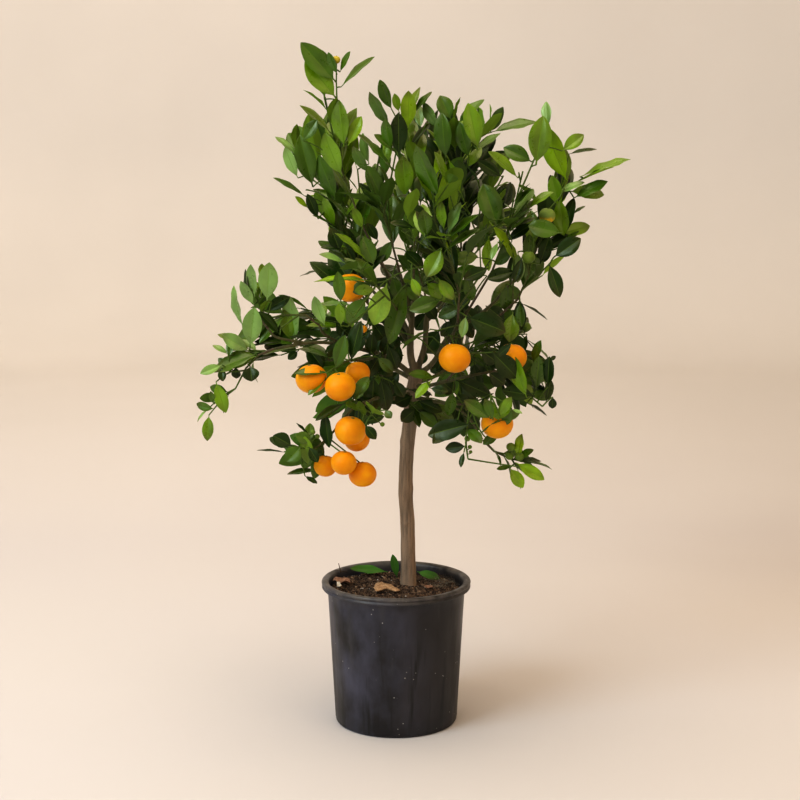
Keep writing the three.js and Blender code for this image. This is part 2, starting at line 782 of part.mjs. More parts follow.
function leafFits(leaf, mass, plan, twigs, leaves) {
  for (const [along, aside] of LEAF_PROBES) {
    const point = leafPoint(leaf, along, aside);
    if (!inSpace(point, mass, plan, KEEP.space)) return false;
    if (!clearOfRods(point, mass, plan, KEEP.limb)) return false;
    if (!clearOfFruit(point, plan, KEEP.fruit)) return false;
  }
  leaf.rim = LEAF_OUTLINE.map(([along, aside]) => leafPoint(leaf, along, aside));
  leaf.edges = rimEdges(leaf);
  leaf.faces = rimFaces(leaf);
  leaf.spine = LEAF_SPINE.map((along) => leafPoint(leaf, along, 0));
  const near = (other) =>
    leaf.spine.some((a) => other.spine.some((b) => a.distanceTo(b) < KEEP.leaf));
  if (leaves.some((other) => near(other) || leavesCross(leaf, other))) return false;
  return !twigs.some((twig) => twig !== leaf.twig && twigCrosses(twig, leaf));
}

function growLeaves(mass, twig, row, plan, twigs, leaves) {
  const reach = Math.min(twig.length, 2.6 * mass.shoot);
  const bare = 1 - (0.8 * reach) / twig.length;
  const count = Math.max(2, Math.round((0.8 * reach) / mass.leafApart));
  for (let k = 0; k < count; k++) {
    const draw = seeded(10000 * mass.seed + 100 * row + k);
    const last = k === count - 1;
    const end = 1 - LEAF.sunk / twig.length;
    const share = last ? end : between(bare, 0.96, (k + 0.5) / (count - 0.5));
    for (let attempt = 0; attempt < LEAF.tries; attempt++) {
      const turn = ((2 * (k + row + attempt) + 1) * Math.PI) / 3;
      const size = 1 - 0.08 * attempt;
      const leaf = growLeaf(mass, twig, share, turn, last ? 16 : LEAF.open, size, draw);
      if (!leafFits(leaf, mass, plan, twigs, leaves)) continue;
      leaves.push(leaf);
      break;
    }
  }
}

function growMass(mass, plan) {
  const twigs = [mass.stem];
  const count = Math.round(mass.stem.length / mass.apart);
  for (let k = 0; k < count; k++) {
    const draw = seeded(100 * mass.seed + k);
    const share = between(mass.bare, 0.92, (k + 0.2 + 0.6 * draw()) / count);
    for (let attempt = 0; attempt < TWIG.tries; attempt++) {
      const turn = mass.seed + k * GOLDEN_TURN + attempt * 1.3;
      const shoot = growShoot(mass, share, turn, 1 - 0.12 * attempt, draw);
      if (!shootFits(shoot, mass, plan)) continue;
      twigs.push(shoot);
      break;
    }
  }
  const leaves = [];
  twigs.forEach((twig, row) => growLeaves(mass, twig, row, plan, twigs, leaves));
  return { twigs, leaves };
}

// Whether two corners that share no edge lie so near each other that a file would join them.
function hasTwinCorners(solid) {
  const { numVert, numProp, vertProperties, triVerts } = solid.getMesh();
  const corner = (i) => new THREE.Vector3().fromArray(vertProperties, i * numProp);
  const corners = Array.from({ length: numVert }, (_, i) => corner(i));
  const joined = new Set();
  for (let f = 0; f < triVerts.length; f += 3)
    for (let k = 0; k < 3; k++)
      joined.add(triVerts[f + k] * numVert + triVerts[f + ((k + 1) % 3)]);
  return corners.some((one, i) =>
    corners.some((other, j) => {
      return j > i && one.distanceTo(other) < TWIN_CORNERS && !joined.has(i * numVert + j);
    }),
  );
}

// A mass is one body. Where its union leaves twin corners, its twigs are made a hair thicker.
function massSolid(mass, plan) {
  const { twigs, leaves } = growMass(mass, plan);
  const fruits = (mass.fruits ?? []).map(([x, y, z, diameter]) => {
    const at = new THREE.Vector3(x, y, z);
    return { stalk: growStalk(twigs, at, diameter), solid: fruitSolid(at, diameter) };
  });
  const joinAt = (swell) => {
    const pieces = leaves.map(leafSolid);
    for (const twig of twigs) pieces.push(tube(twig, TWIG.sides, swell));
    for (const fruit of fruits) pieces.push(tube(fruit.stalk, TWIG.sides), fruit.solid);
    return mainBody(wasm.Manifold.union(pieces).simplify(FINEST_EDGE));
  };
  let solid = joinAt(0);
  for (let k = 1; k <= 12 && hasTwinCorners(solid); k++) solid = joinAt(0.012 * k);
  return solid;
}

// ---------------------------------------------------------------- the assembly

const FINISH = {
  pot: { color: 0x26282d, roughness: 0.55, metalness: 0 },
  soil: { color: 0x3a2a20, roughness: 0.95, metalness: 0 },
  bark: { color: 0x77634c, roughness: 0.85, metalness: 0 },
  foliage: { color: 0x3f6a1c, roughness: 0.45, metalness: 0 },
};

function piece(name, geometry, finish) {
  const mesh = new THREE.Mesh(geometry, new THREE.MeshStandardMaterial(FINISH[finish]));
  mesh.name = name;
  return mesh;
}

const plan = crownPlan();
const tree = new THREE.Group();

const container = new THREE.Group();
container.rotation.x = Math.PI / 2; // turned profiles stand on Y, and the tree on Z
container.add(piece("pot", geometryOf(potSolid()), "pot"));
container.add(piece("soil", geometryOf(soilSolid()), "soil"));
tree.add(container);

const wood = new THREE.Group();
for (const [name, solid] of Object.entries(limbSolids(plan.limbs)))
  wood.add(piece(name, geometryOf(solid), "bark"));
tree.add(wood);

const crown = new THREE.Group();
for (const mass of Object.values(plan.masses))
  crown.add(piece(mass.name, geometryOf(massSolid(mass, plan)), "foliage"));
tree.add(crown);

export default tree;
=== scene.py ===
"""Calamondin orange tree in a black nursery pot: its bark, foliage, fruit, pot and compost.

The limbs and the masses of foliage are worked out by the seeded rule that the solids under them
follow, in millimetres, and are carried on to finer twigs and more leaves within the same reach.
Every mesh is then made in metres, in the solids' own frame.
"""

import json
import math

import bmesh
import bpy
import numpy as np
from mathutils import Matrix, Vector, noise

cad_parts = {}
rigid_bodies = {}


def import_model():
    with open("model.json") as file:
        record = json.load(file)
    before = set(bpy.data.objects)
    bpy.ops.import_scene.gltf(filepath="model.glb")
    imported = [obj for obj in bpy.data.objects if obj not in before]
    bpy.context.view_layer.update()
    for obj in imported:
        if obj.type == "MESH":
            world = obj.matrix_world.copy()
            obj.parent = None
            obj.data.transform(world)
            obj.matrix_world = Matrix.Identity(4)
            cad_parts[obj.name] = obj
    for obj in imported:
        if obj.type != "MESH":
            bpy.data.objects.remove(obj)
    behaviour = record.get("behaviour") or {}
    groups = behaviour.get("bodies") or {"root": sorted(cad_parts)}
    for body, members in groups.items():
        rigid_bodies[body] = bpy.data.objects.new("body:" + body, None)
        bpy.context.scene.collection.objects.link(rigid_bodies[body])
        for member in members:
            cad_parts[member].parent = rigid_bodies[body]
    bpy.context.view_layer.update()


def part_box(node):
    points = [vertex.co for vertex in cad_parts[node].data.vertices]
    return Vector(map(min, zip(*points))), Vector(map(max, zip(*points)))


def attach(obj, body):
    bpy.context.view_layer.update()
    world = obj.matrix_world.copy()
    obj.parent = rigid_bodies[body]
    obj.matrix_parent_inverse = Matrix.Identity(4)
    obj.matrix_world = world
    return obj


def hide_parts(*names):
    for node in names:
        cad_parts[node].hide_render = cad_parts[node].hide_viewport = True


bl_info = {
    "name": "Calamondin Tree",
    "version": (1, 0, 0),
    "blender": (4, 5, 0),
    "location": "View3D > Sidebar > Calamondin",
    "description": "Dresses a potted calamondin tree: bark, twigs, leaves, fruit, pot and compost",
    "category": "Object",
}

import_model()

MM = 0.001
GAP = 0.3
SOIL_TOP = 169.0
GOLDEN_TURN = math.radians(137.5)

# ---------------------------------------------------------------- the tree's own sizes, in mm

# The trunk's centreline and radius, from the flat cut at the soil to the fork.
TRUNK = (
    ((15.5, 8.8, SOIL_TOP + GAP), 12.4),
    ((15.6, 8.8, 176), 10.6),
    ((15.5, 8.8, 206), 9.5),
    ((14.3, 8.6, 259), 9.2),
    ((12.0, 8.8, 302), 9.1),
    ((13.8, 9.2, 350), 8.9),
    ((17.6, 9.0, 386), 9.2),
    ((20.6, 8.8, 418), 9.6),
    ((24.0, 9.0, 440), 8.6),
    ((25.5, 9.0, 449), 6.2),
)

# Each bough starts inside its parent at a share of its length and runs through the points given.
BOUGHS = {
    "left_limb": dict(
        parent="trunk", start=0.96, radius=(5.2, 3.1),
        through=[(18, 5, 472), (19, 2, 505), (21, -3, 540)],
    ),
    "leader_bough": dict(
        parent="left_limb", start=0.86, radius=(2.9, 2.2),
        through=[(2, -6, 550), (-16, -12, 582)],
    ),
    "front_top_bough": dict(
        parent="left_limb", start=0.8, radius=(2.7, 2.1),
        through=[(14, -28, 544), (6, -48, 574)],
    ),
    "back_top_left_bough": dict(
        parent="left_limb", start=0.72, radius=(2.8, 2.1),
        through=[(8, 34, 532), (-6, 62, 560)],
    ),
    "left_middle_bough": dict(
        parent="left_limb", start=0.46, radius=(2.8, 2.1),
        through=[(0, -22, 510), (-24, -44, 528)],
    ),
    "left_top_bough": dict(
        parent="left_limb", start=0.6, radius=(2.8, 2.1),
        through=[(-8, 10, 528), (-32, 18, 554)],
    ),
    "centre_front_bough": dict(
        parent="left_limb", start=0.5, radius=(2.8, 2.0),
        through=[(14, -36, 508), (8, -72, 526)],
    ),
    "right_limb": dict(
        parent="trunk", start=0.975, radius=(4.2, 2.7),
        through=[(36, 12, 483), (38, 14, 515), (46, 17, 548)],
    ),
    "top_right_inner_bough": dict(
        parent="right_limb", start=0.76, radius=(2.6, 2.0),
        through=[(60, 2, 544), (78, -12, 572)],
    ),
    "back_top_right_bough": dict(
        parent="right_limb", start=0.64, radius=(2.7, 2.0),
        through=[(60, 46, 532), (74, 76, 560)],
    ),
    "back_middle_bough": dict(
        parent="right_limb", start=0.4, radius=(2.7, 2.0),
        through=[(40, 48, 506), (40, 84, 524)],
    ),
    "outer_limb": dict(
        parent="trunk", start=0.93, radius=(3.8, 2.4),
        through=[(46, 2, 462), (63, -8, 494), (90, -20, 532)],
    ),
    "right_outer_bough": dict(
        parent="outer_limb", start=0.74, radius=(2.5, 1.9),
        through=[(110, -2, 528), (138, 0, 556)],
    ),
    "right_middle_bough": dict(
        parent="outer_limb", start=0.6, radius=(2.4, 1.8),
        through=[(96, -38, 510), (126, -54, 528)],
    ),
    "centre_right_bough": dict(
        parent="outer_limb", start=0.42, radius=(2.5, 1.9),
        through=[(68, -42, 500), (74, -76, 522)],
    ),
    "arm_limb": dict(
        parent="trunk", start=0.9, radius=(3.8, 1.8),
        through=[(-4, -4, 466), (-42, -35, 484), (-94, -62, 496), (-146, -78, 490)],
    ),
    "arm_inner_bough": dict(
        parent="arm_limb", start=0.6, radius=(2.0, 1.7),
        through=[(-86, -68, 506), (-92, -76, 518)],
    ),
    "arm_outer_bough": dict(
        parent="arm_limb", start=0.82, radius=(1.9, 1.6),
        through=[(-142, -82, 504), (-152, -86, 514)],
    ),
    "left_fruit_bough": dict(
        parent="arm_limb", start=0.36, radius=(2.5, 1.9),
        through=[(-34, -54, 474), (-54, -78, 476)],
    ),
    "left_back_bough": dict(
        parent="trunk", start=0.88, radius=(3.2, 2.1),
        through=[(-10, 30, 456), (-42, 62, 486)],
    ),
    "hanging_bough": dict(
        parent="trunk", start=0.8, radius=(3.2, 1.8),
        through=[(-4, -20, 420), (-24, -52, 426), (-42, -80, 420)],
    ),
    "low_sprig_bough": dict(
        parent="hanging_bough", start=0.6, radius=(2.0, 1.6),
        through=[(-50, -60, 416), (-78, -92, 388)],
    ),
    "right_inner_bough": dict(
        parent="trunk", start=0.84, radius=(3.2, 2.0),
        through=[(42, -15, 436), (62, -40, 446)],
    ),
    "right_sprig_bough": dict(
        parent="right_inner_bough", start=0.55, radius=(2.3, 1.8),
        through=[(88, -34, 450), (118, -46, 458)],
    ),
    "right_fruit_bough": dict(
        parent="trunk", start=0.78, radius=(3.0, 1.8),
        through=[(50, -32, 418), (76, -64, 420)],
    ),
    "right_hanging_bough": dict(
        parent="right_fruit_bough", start=0.66, radius=(1.8, 1.4),
        through=[(86, -46, 404), (106, -62, 376)],
    ),
    "back_low_left_bough": dict(
        parent="trunk", start=0.8, radius=(3.2, 2.0),
        through=[(0, 38, 428), (-22, 68, 440)],
    ),
    "back_low_right_bough": dict(
        parent="trunk", start=0.86, radius=(3.2, 2.0),
        through=[(46, 40, 438), (70, 68, 448)],
    ),
}

# Each mass of foliage: its bough, its stem's far end and how it differs from the usual one, with
# its fruit as (x, y, z, diameter).
MASSES = {
    "leader": dict(
        on="leader_bough", tip=(-86, -27, 787), seed=484,
        shoot=64, open=32, lift=0.82, leaf=55, space=65, apart=31, leaf_apart=16,
    ),
    "left_top": dict(
        on="left_top_bough", tip=(-65, 10, 729), seed=54,
        shoot=70, open=30, lift=0.6, leaf=65, space=70, apart=26, leaf_apart=17,
    ),
    "front_top": dict(
        on="front_top_bough", tip=(-35, -72, 743), seed=505,
        shoot=73, open=35, lift=0.9, leaf=71, space=64, leaf_apart=19,
    ),
    "middle_top": dict(
        on="left_limb", tip=(13, 12, 754), seed=566,
        shoot=71, open=26, lift=-0.21, leaf=76, space=67, apart=26, leaf_apart=21,
    ),
    "right_top": dict(
        on="right_limb", tip=(82, -37, 739), seed=4,
        shoot=81, lift=0.9, leaf=61, space=70,
    ),
    "top_right_inner": dict(
        on="top_right_inner_bough", tip=(104, -44, 695), seed=585,
        shoot=69, open=50, lift=0.9, leaf=63, space=75,
    ),
    "top_right": dict(
        on="outer_limb", tip=(154, -61, 714), seed=799,
        shoot=79, open=35, lift=0.25, leaf=58, space=73,
    ),
    "right_outer": dict(
        on="right_outer_bough", tip=(205, -12, 692), seed=630,
        shoot=58, open=57, lift=0.9, leaf=59,
    ),
    "back_top_left": dict(
        on="back_top_left_bough", tip=(-99, 120, 704), seed=306,
        shoot=103, open=33, lift=0.41, leaf=68, space=65, apart=28, leaf_apart=23,
    ),
    "back_top_right": dict(
        on="back_top_right_bough", tip=(70, 124, 717), seed=773,
        shoot=84, open=57, lift=0.08, leaf=76, space=85, leaf_apart=21,
    ),
    "centre_front": dict(
        on="centre_front_bough", tip=(-52, -150, 600), seed=717,
        shoot=75, open=55, lift=-0.31, leaf=65, space=57,
        fruits=[(-54, -95, 565, 37)],
    ),
    "centre_right": dict(
        on="centre_right_bough", tip=(31, -142, 679), seed=512,
        shoot=98, open=41, lift=0.21, leaf=81, space=88, leaf_apart=16,
    ),
    "left_middle": dict(
        on="left_middle_bough", tip=(-36, -77, 658), seed=572,
        shoot=36, open=30, lift=-0.03, leaf=71, space=57, leaf_apart=15,
    ),
    "right_middle": dict(
        on="right_middle_bough", tip=(165, -70, 623), seed=872,
        shoot=44, open=43, lift=0.71, leaf=57, space=77, leaf_apart=16,
    ),
    "back_middle": dict(
        on="back_middle_bough", tip=(4, 150, 624), seed=256,
        shoot=88, open=51, lift=-0.33, leaf=75, space=93, apart=32, leaf_apart=21,
    ),
    "left_back": dict(
        on="left_back_bough", tip=(-125, 113, 519), seed=203,
        shoot=94, open=46, lift=-0.52, leaf=67, space=60, leaf_apart=16,
    ),
    "arm_inner": dict(
        on="arm_inner_bough", tip=(-173, -84, 521), seed=358,
        shoot=28, open=46, lift=0.01, leaf=48, space=47, apart=21, leaf_apart=20,
    ),
    "arm_outer": dict(
        on="arm_outer_bough", tip=(-158, -92, 559), seed=179,
        shoot=34, open=53, lift=0.05, leaf=41, space=47, apart=16,
    ),
    "arm_tip": dict(
        on="arm_limb", tip=(-192, -94, 444), seed=119,
        shoot=21, open=24, lift=0.83, leaf=39, space=39, leaf_apart=16,
    ),
    "left_fruit": dict(
        on="left_fruit_bough", tip=(-66, -100, 473), seed=227,
        shoot=26, open=51, lift=0.08, leaf=59, apart=12, leaf_apart=21,
        fruits=[(-101, -95, 456, 38), (-66, -112, 449, 37), (-46, -80, 461, 30)],
    ),
    "left_hanging": dict(
        on="hanging_bough", tip=(-44, -104, 459), seed=322,
        shoot=51, open=54, lift=0.04, leaf=65, space=51, apart=20, leaf_apart=19,
        fruits=[(-54, -118, 397, 37.5), (-47, -88, 381, 31)],
    ),
    "low_sprig": dict(
        on="low_sprig_bough", tip=(-114, -106, 362), seed=365,
        shoot=33, open=58, lift=-0.04, leaf=51, space=47, leaf_apart=20,
        fruits=[(-62, -122, 359, 31), (-40, -106, 342, 33.5), (-85, -96, 350, 28)],
    ),
    "fork_leaves": dict(
        on="trunk", tip=(-5, -46, 445), seed=164,
        shoot=23, open=64, lift=-0.08, leaf=56, space=32, apart=19, leaf_apart=15, start=0.74,
    ),
    "right_inner": dict(
        on="right_inner_bough", tip=(65, -79, 575), seed=839,
        shoot=61, open=66, lift=-0.43, space=75, apart=13, leaf_apart=21,
        fruits=[(70, -96, 481, 38.5)],
    ),
    "right_sprig": dict(
        on="right_sprig_bough", tip=(136, -60, 455), seed=259,
        shoot=69, open=32, lift=0.06, leaf=75, space=60, apart=24, leaf_apart=15,
        fruits=[(140, -72, 479, 36)],
    ),
    "right_fruit": dict(
        on="right_fruit_bough", tip=(122, -96, 442), seed=438,
        shoot=62, open=59, lift=-0.43, leaf=55, space=41, apart=12,
        fruits=[(121, -104, 403, 38.5)],
    ),
    "right_hanging": dict(
        on="right_hanging_bough", tip=(164, -76, 350), seed=884,
        shoot=17, open=39, lift=-0.59, leaf=32, space=44, apart=27, leaf_apart=16, bare=0.3,
    ),
    "back_low_left": dict(
        on="back_low_left_bough", tip=(-82, 138, 407), seed=889,
        shoot=39, open=55, lift=-0.57, leaf=69, space=72, apart=21, leaf_apart=21,
    ),
    "back_low_right": dict(
        on="back_low_right_bough", tip=(142, 131, 476), seed=448,
        shoot=59, open=62, lift=-0.61, leaf=69, space=72, apart=18, leaf_apart=16,
    ),
}

# Readings off the main view, in its pixels: 800 across, seen from EYE along +Y and down by PITCH.
EYE = np.array((4.9, -2082.0, 745.0))
PITCH = math.radians(9)
VIEW_MIDDLE = 400
VIEW_FOCAL = 1680

# Leaves that stand out: tip, root, width as seen and tint. A leaf hangs before the nearest twigs
# unless its row ends in "behind" or in a depth (mm along Y).
LEAF_MARKS = (
    (300, 43, 336, 82, 20, "mid"), (306, 60, 336, 98, 21, "bright"), (327, 53, 337, 74, 7, "mid"),
    (349, 51, 340, 72, 7, "mid"), (372, 54, 341, 87, 11, "mid"), (338, 100, 344, 147, 16, "bright"),
    (302, 103, 331, 133, 10, "bright"), (360, 116, 348, 146, 12, "lime"), (317, 120, 303, 141, 12, "mid"),
    (298, 136, 313, 187, 20, "mid"), (322, 134, 342, 176, 16, "bright"), (317, 156, 336, 200, 15, "mid"),
    (352, 147, 368, 173, 9, "mid"), (367, 166, 382, 199, 15, "mid"), (361, 131, 392, 169, 10, "mid"),
    (361, 133, 369, 164, 8, "grey", "behind"), (398, 113, 399, 156, 17, "deep"),
    (368, 93, 390, 127, 8, "mid"), (378, 80, 392, 110, 10, "mid", "behind"),
    (394, 94, 399, 112, 8, "bright"), (409, 91, 408, 129, 15, "lime"),
    (430, 90, 413, 114, 8, "mid", "behind"), (404, 156, 405, 198, 18, "bright"),
    (414, 147, 440, 199, 14, "mid"), (441, 113, 446, 159, 16, "mid"),
    (422, 103, 438, 128, 9, "grey", "behind"), (440, 95, 451, 120, 16, "mid", "behind"),
    (482, 97, 458, 124, 11, "mid", "behind"), (469, 103, 478, 150, 18, "bright"),
    (458, 123, 469, 158, 13, "mid"), (428, 121, 410, 148, 8, "deep", "behind"),
    (499, 131, 474, 153, 9, "mid", "behind"), (537, 119, 492, 132, 14, "mid", -20),
    (543, 116, 536, 165, 22, "bright"), (546, 101, 548, 127, 9, "grey", "behind"),
    (542, 128, 567, 181, 17, "lime"), (584, 134, 562, 151, 13, "bright", "behind"),
    (597, 147, 569, 154, 7, "deep", "behind"), (629, 155, 580, 177, 12, "bright"),
    (607, 180, 574, 198, 13, "mid"), (551, 176, 560, 208, 12, "bright"), (584, 181, 557, 193, 9, "grey"),
    (552, 190, 528, 208, 9, "bright"), (504, 146, 532, 162, 16, "mid", "behind"),
    (490, 150, 518, 178, 13, "bright"), (485, 183, 497, 227, 23, "mid", -62),
    (478, 161, 502, 177, 13, "deep"), (562, 236, 560, 197, 14, "bright", -50),
    (571, 197, 565, 236, 11, "deep", "behind"), (585, 205, 573, 214, 4, "mid", "behind"),
    (581, 239, 554, 257, 17, "deep"), (522, 261, 489, 221, 13, "lime", -66),
    (439, 201, 444, 230, 9, "bright"), (424, 210, 427, 237, 14, "mid"), (459, 202, 448, 234, 11, "grey"),
    (476, 212, 447, 240, 10, "mid"), (478, 227, 446, 250, 10, "mid"), (427, 277, 442, 248, 18, "bright"),
    (453, 300, 438, 278, 12, "bright"), (420, 296, 411, 277, 9, "bright"),
    (486, 271, 489, 236, 10, "lime"), (491, 259, 498, 242, 6, "grey"), (391, 221, 415, 228, 9, "deep"),
    (487, 278, 516, 271, 14, "deep"), (464, 279, 489, 268, 13, "deep"), (515, 283, 522, 257, 10, "deep"),
    (276, 135, 297, 156, 8, "grey", "behind"), (283, 148, 298, 178, 10, "grey"),
    (275, 175, 305, 196, 8, "mid"), (296, 196, 308, 208, 6, "lime"), (321, 246, 341, 248, 7, "deep"),
    (320, 252, 345, 263, 8, "grey"), (312, 262, 331, 264, 4, "deep", "behind"),
    (299, 274, 326, 269, 4, "deep", "behind"), (314, 277, 372, 281, 8, "lime"),
    (337, 231, 368, 262, 9, "bright"), (364, 237, 374, 266, 15, "mid"), (368, 223, 378, 241, 9, "deep"),
    (353, 208, 363, 229, 9, "bright"), (322, 199, 335, 227, 10, "bright"),
    (359, 182, 373, 196, 7, "deep", "behind"), (308, 194, 318, 219, 10, "deep"),
    # The pale leaf in this row is painted light: a leaf in shade, coloured as if it were lit.
    (332, 228, 340, 252, 14, "deep"), (374, 326, 387, 283, 21, "pale", -112),
    (384, 343, 408, 283, 21, "mid", -100), (409, 309, 442, 299, 16, "mid"),
    (347, 323, 366, 297, 17, "mid", -116), (355, 291, 375, 289, 11, "bright"),
    (320, 302, 352, 305, 8, "grey", "behind"), (346, 336, 335, 369, 14, "mid"),
    (359, 321, 351, 362, 15, "deep"), (323, 368, 306, 346, 16, "deep"), (294, 372, 327, 373, 9, "mid"),
    (307, 394, 325, 380, 8, "bright"), (370, 333, 378, 362, 11, "deep", "behind"),
    (393, 375, 375, 361, 13, "deep"), (395, 403, 412, 396, 15, "deep"), (414, 397, 432, 380, 9, "lime"),
    (442, 411, 418, 401, 12, "deep"), (438, 426, 418, 411, 12, "mid"), (401, 421, 416, 409, 14, "deep"),
    (314, 418, 345, 403, 10, "deep"), (506, 331, 467, 317, 24, "deep"),
    (509, 342, 513, 312, 16, "bright"), (461, 337, 466, 316, 9, "grey"), (561, 297, 549, 264, 14, "deep"),
    (549, 318, 521, 303, 4, "deep", "behind"), (521, 327, 520, 302, 9, "mid"),
    (523, 352, 527, 334, 6, "mid", "behind"), (539, 340, 533, 365, 8, "mid"),
    (540, 357, 536, 390, 14, "mid"), (548, 357, 548, 387, 11, "deep"),
    (556, 356, 549, 361, 4, "deep", "behind"), (511, 355, 527, 398, 12, "bright", -98),
    (503, 390, 535, 396, 15, "deep"), (548, 414, 527, 403, 5, "deep", "behind"),
    (552, 409, 553, 397, 8, "deep", "behind"), (511, 397, 500, 416, 9, "bright"),
    (486, 399, 493, 420, 9, "mid"), (465, 400, 491, 419, 13, "mid"), (449, 416, 453, 391, 11, "mid"),
    (427, 434, 471, 424, 20, "deep", -118), (503, 426, 512, 409, 10, "mid", -128),
    (522, 413, 512, 409, 4, "grey"), (483, 444, 499, 433, 9, "mid"), (520, 434, 518, 458, 8, "lime"),
    (478, 395, 474, 362, 14, "deep", "behind"), (492, 395, 456, 380, 15, "deep"),
    (448, 392, 430, 388, 9, "deep"), (523, 488, 510, 468, 12, "lime"), (545, 479, 516, 463, 12, "lime"),
    (460, 467, 464, 452, 5, "deep"), (445, 449, 466, 446, 11, "deep", -112),
    (269, 263, 267, 301, 19, "grey"), (248, 265, 255, 297, 10, "grey"), (240, 282, 254, 305, 9, "grey"),
    (231, 286, 243, 327, 8, "grey", "behind"), (254, 308, 250, 347, 19, "grey"),
    (222, 335, 249, 351, 14, "grey"), (213, 344, 228, 354, 6, "grey", "behind"),
    (211, 370, 256, 354, 16, "mid"), (289, 296, 265, 311, 12, "deep"), (287, 297, 296, 341, 16, "grey"),
    (285, 310, 291, 341, 14, "bright"), (260, 311, 280, 335, 10, "deep"),
    (314, 297, 325, 326, 11, "grey"), (339, 304, 341, 326, 10, "bright"),
    (225, 413, 216, 382, 13, "bright"), (207, 441, 209, 415, 11, "bright"),
    (210, 392, 214, 404, 6, "mid"), (200, 373, 222, 365, 9, "grey"), (252, 381, 250, 366, 16, "deep"),
    (236, 379, 236, 367, 9, "deep", "behind"), (274, 435, 292, 446, 15, "deep"),
    (296, 435, 312, 441, 12, "mid"), (287, 462, 301, 446, 16, "mid"), (305, 437, 308, 466, 13, "bright"),
    (312, 435, 321, 468, 15, "mid"), (257, 448, 284, 452, 3, "deep", "behind"),
    (287, 472, 318, 470, 7, "mid"), (317, 483, 305, 476, 5, "deep"), (327, 448, 325, 410, 12, "deep"),
    (376, 439, 365, 425, 10, "deep"), (384, 415, 362, 423, 9, "deep", "behind"),
    # Partly painted shade: these deep leaves at depths behind the twigs fill the shaded hollow behind the
    # fork with dark leaves.
    (352, 345, 372, 330, 15, "deep", 55), (365, 352, 385, 336, 16, "deep", 60),
    (340, 350, 358, 340, 14, "deep", 40), (362, 378, 380, 366, 15, "deep", 50),
    (386, 385, 400, 372, 14, "deep", 60), (372, 395, 390, 388, 13, "deep", 45),
    (345, 385, 362, 378, 14, "deep", 40), (398, 352, 386, 330, 16, "deep", 70),
    (384, 312, 398, 330, 16, "deep", 60), (425, 350, 440, 330, 17, "deep", 60),
    (448, 350, 436, 372, 15, "deep", 55), (430, 372, 446, 360, 15, "deep", 65),
    (462, 345, 446, 322, 18, "deep", 50), (455, 392, 440, 380, 16, "deep", 50),
    (470, 405, 452, 398, 15, "deep", 40), (498, 362, 480, 350, 17, "deep", 40),
    (505, 385, 488, 372, 16, "deep", 45), (480, 430, 462, 415, 15, "deep", 30),
    (415, 330, 428, 312, 15, "deep", 70), (395, 300, 412, 316, 16, "mid", 60),
    (360, 310, 378, 318, 15, "deep", 50), (330, 345, 345, 330, 14, "deep", 30),
    (432, 412, 446, 402, 14, "deep", 30), (400, 395, 386, 402, 13, "deep", 35),
    (505, 320, 486, 306, 15, "deep", 45), (470, 292, 455, 310, 14, "deep", 50),
    (518, 378, 492, 352, 20, "deep", -100), (223, 381, 221, 368, 8, "deep"),
    (288, 359, 298, 351, 8, "deep"), (511, 397, 498, 421, 12, "bright", -128),
    (487, 400, 499, 421, 10, "bright", -128), (521, 411, 500, 421, 9, "mid", -126),
    (352, 292, 370, 284, 13, "mid", -122), (328, 283, 347, 281, 10, "deep", -100),
    (370, 356, 373, 331, 11, "deep", -45), (366, 378, 382, 352, 14, "deep", -48),
    (394, 372, 377, 357, 11, "mid", -60), (371, 412, 374, 376, 18, "deep", -55),
    (387, 412, 381, 378, 16, "deep", -52), (398, 370, 388, 345, 13, "deep", -42),
    (383, 356, 392, 331, 14, "deep", -40), (357, 372, 371, 352, 13, "deep", -50),
    (394, 395, 384, 371, 13, "deep", -46), (352, 352, 366, 336, 11, "deep", -45),
    (404, 398, 394, 380, 11, "deep", -46), (345, 374, 361, 380, 9, "deep", -40),
    (365, 325, 352, 330, 10, "deep", -50), (378, 322, 392, 312, 10, "deep", -30),
    (383, 119, 391, 150, 10, "mid"), (297, 422, 309, 436, 3, "deep", "behind"),
    (196, 421, 207, 410, 4, "grey", "behind"), (391, 418, 385, 410, 8, "mid"),
    (244, 269, 248, 292, 4, "deep", "behind"), (262, 352, 298, 347, 8, "mid", -64),
    (299, 346, 330, 358, 8, "mid", -62), (328, 362, 345, 338, 13, "deep", -66),
    (368, 376, 354, 398, 12, "mid", -112), (386, 340, 372, 322, 14, "deep", 40),
    # More deep leaves behind the twigs, partly painted shade in the hollow behind the fork.
    (350, 336, 335, 322, 14, "deep", 30), (398, 306, 388, 288, 13, "deep", 60),
    (412, 304, 404, 288, 12, "deep", 60), (410, 346, 400, 325, 12, "deep", 70),
    (480, 326, 462, 306, 16, "deep", 50), (470, 319, 456, 300, 13, "deep", 60),
    (394, 368, 400, 344, 11, "deep", 20), (425, 352, 420, 366, 9, "deep", 30),
    (497, 357, 512, 343, 8, "deep", -104), (350, 284, 371, 292, 13, "mid", -118),
    (456, 268, 487, 276, 14, "mid", -70), (519, 283, 518, 252, 13, "grey", -70),
    (530, 234, 528, 262, 12, "mid", -65), (549, 236, 540, 264, 13, "deep", -60),
    (507, 313, 506, 284, 14, "mid", -60), (500, 264, 512, 241, 11, "mid", -60),
    (473, 301, 466, 276, 12, "mid", -70), (462, 264, 447, 247, 13, "mid", -70),
    (528, 225, 562, 233, 18, "mid", -80), (536, 262, 553, 249, 11, "deep", -40),
    (458, 252, 480, 258, 9, "deep", -50), (494, 263, 513, 253, 10, "mid", -60),
    (438, 318, 462, 306, 13, "mid", -70), (440, 336, 456, 320, 12, "deep", -50),
    (520, 300, 508, 284, 11, "mid", -60), (474, 338, 464, 322, 10, "deep", -45),
    (478, 256, 446, 262, 14, "mid", -85), (412, 246, 398, 222, 12, "mid", -70),
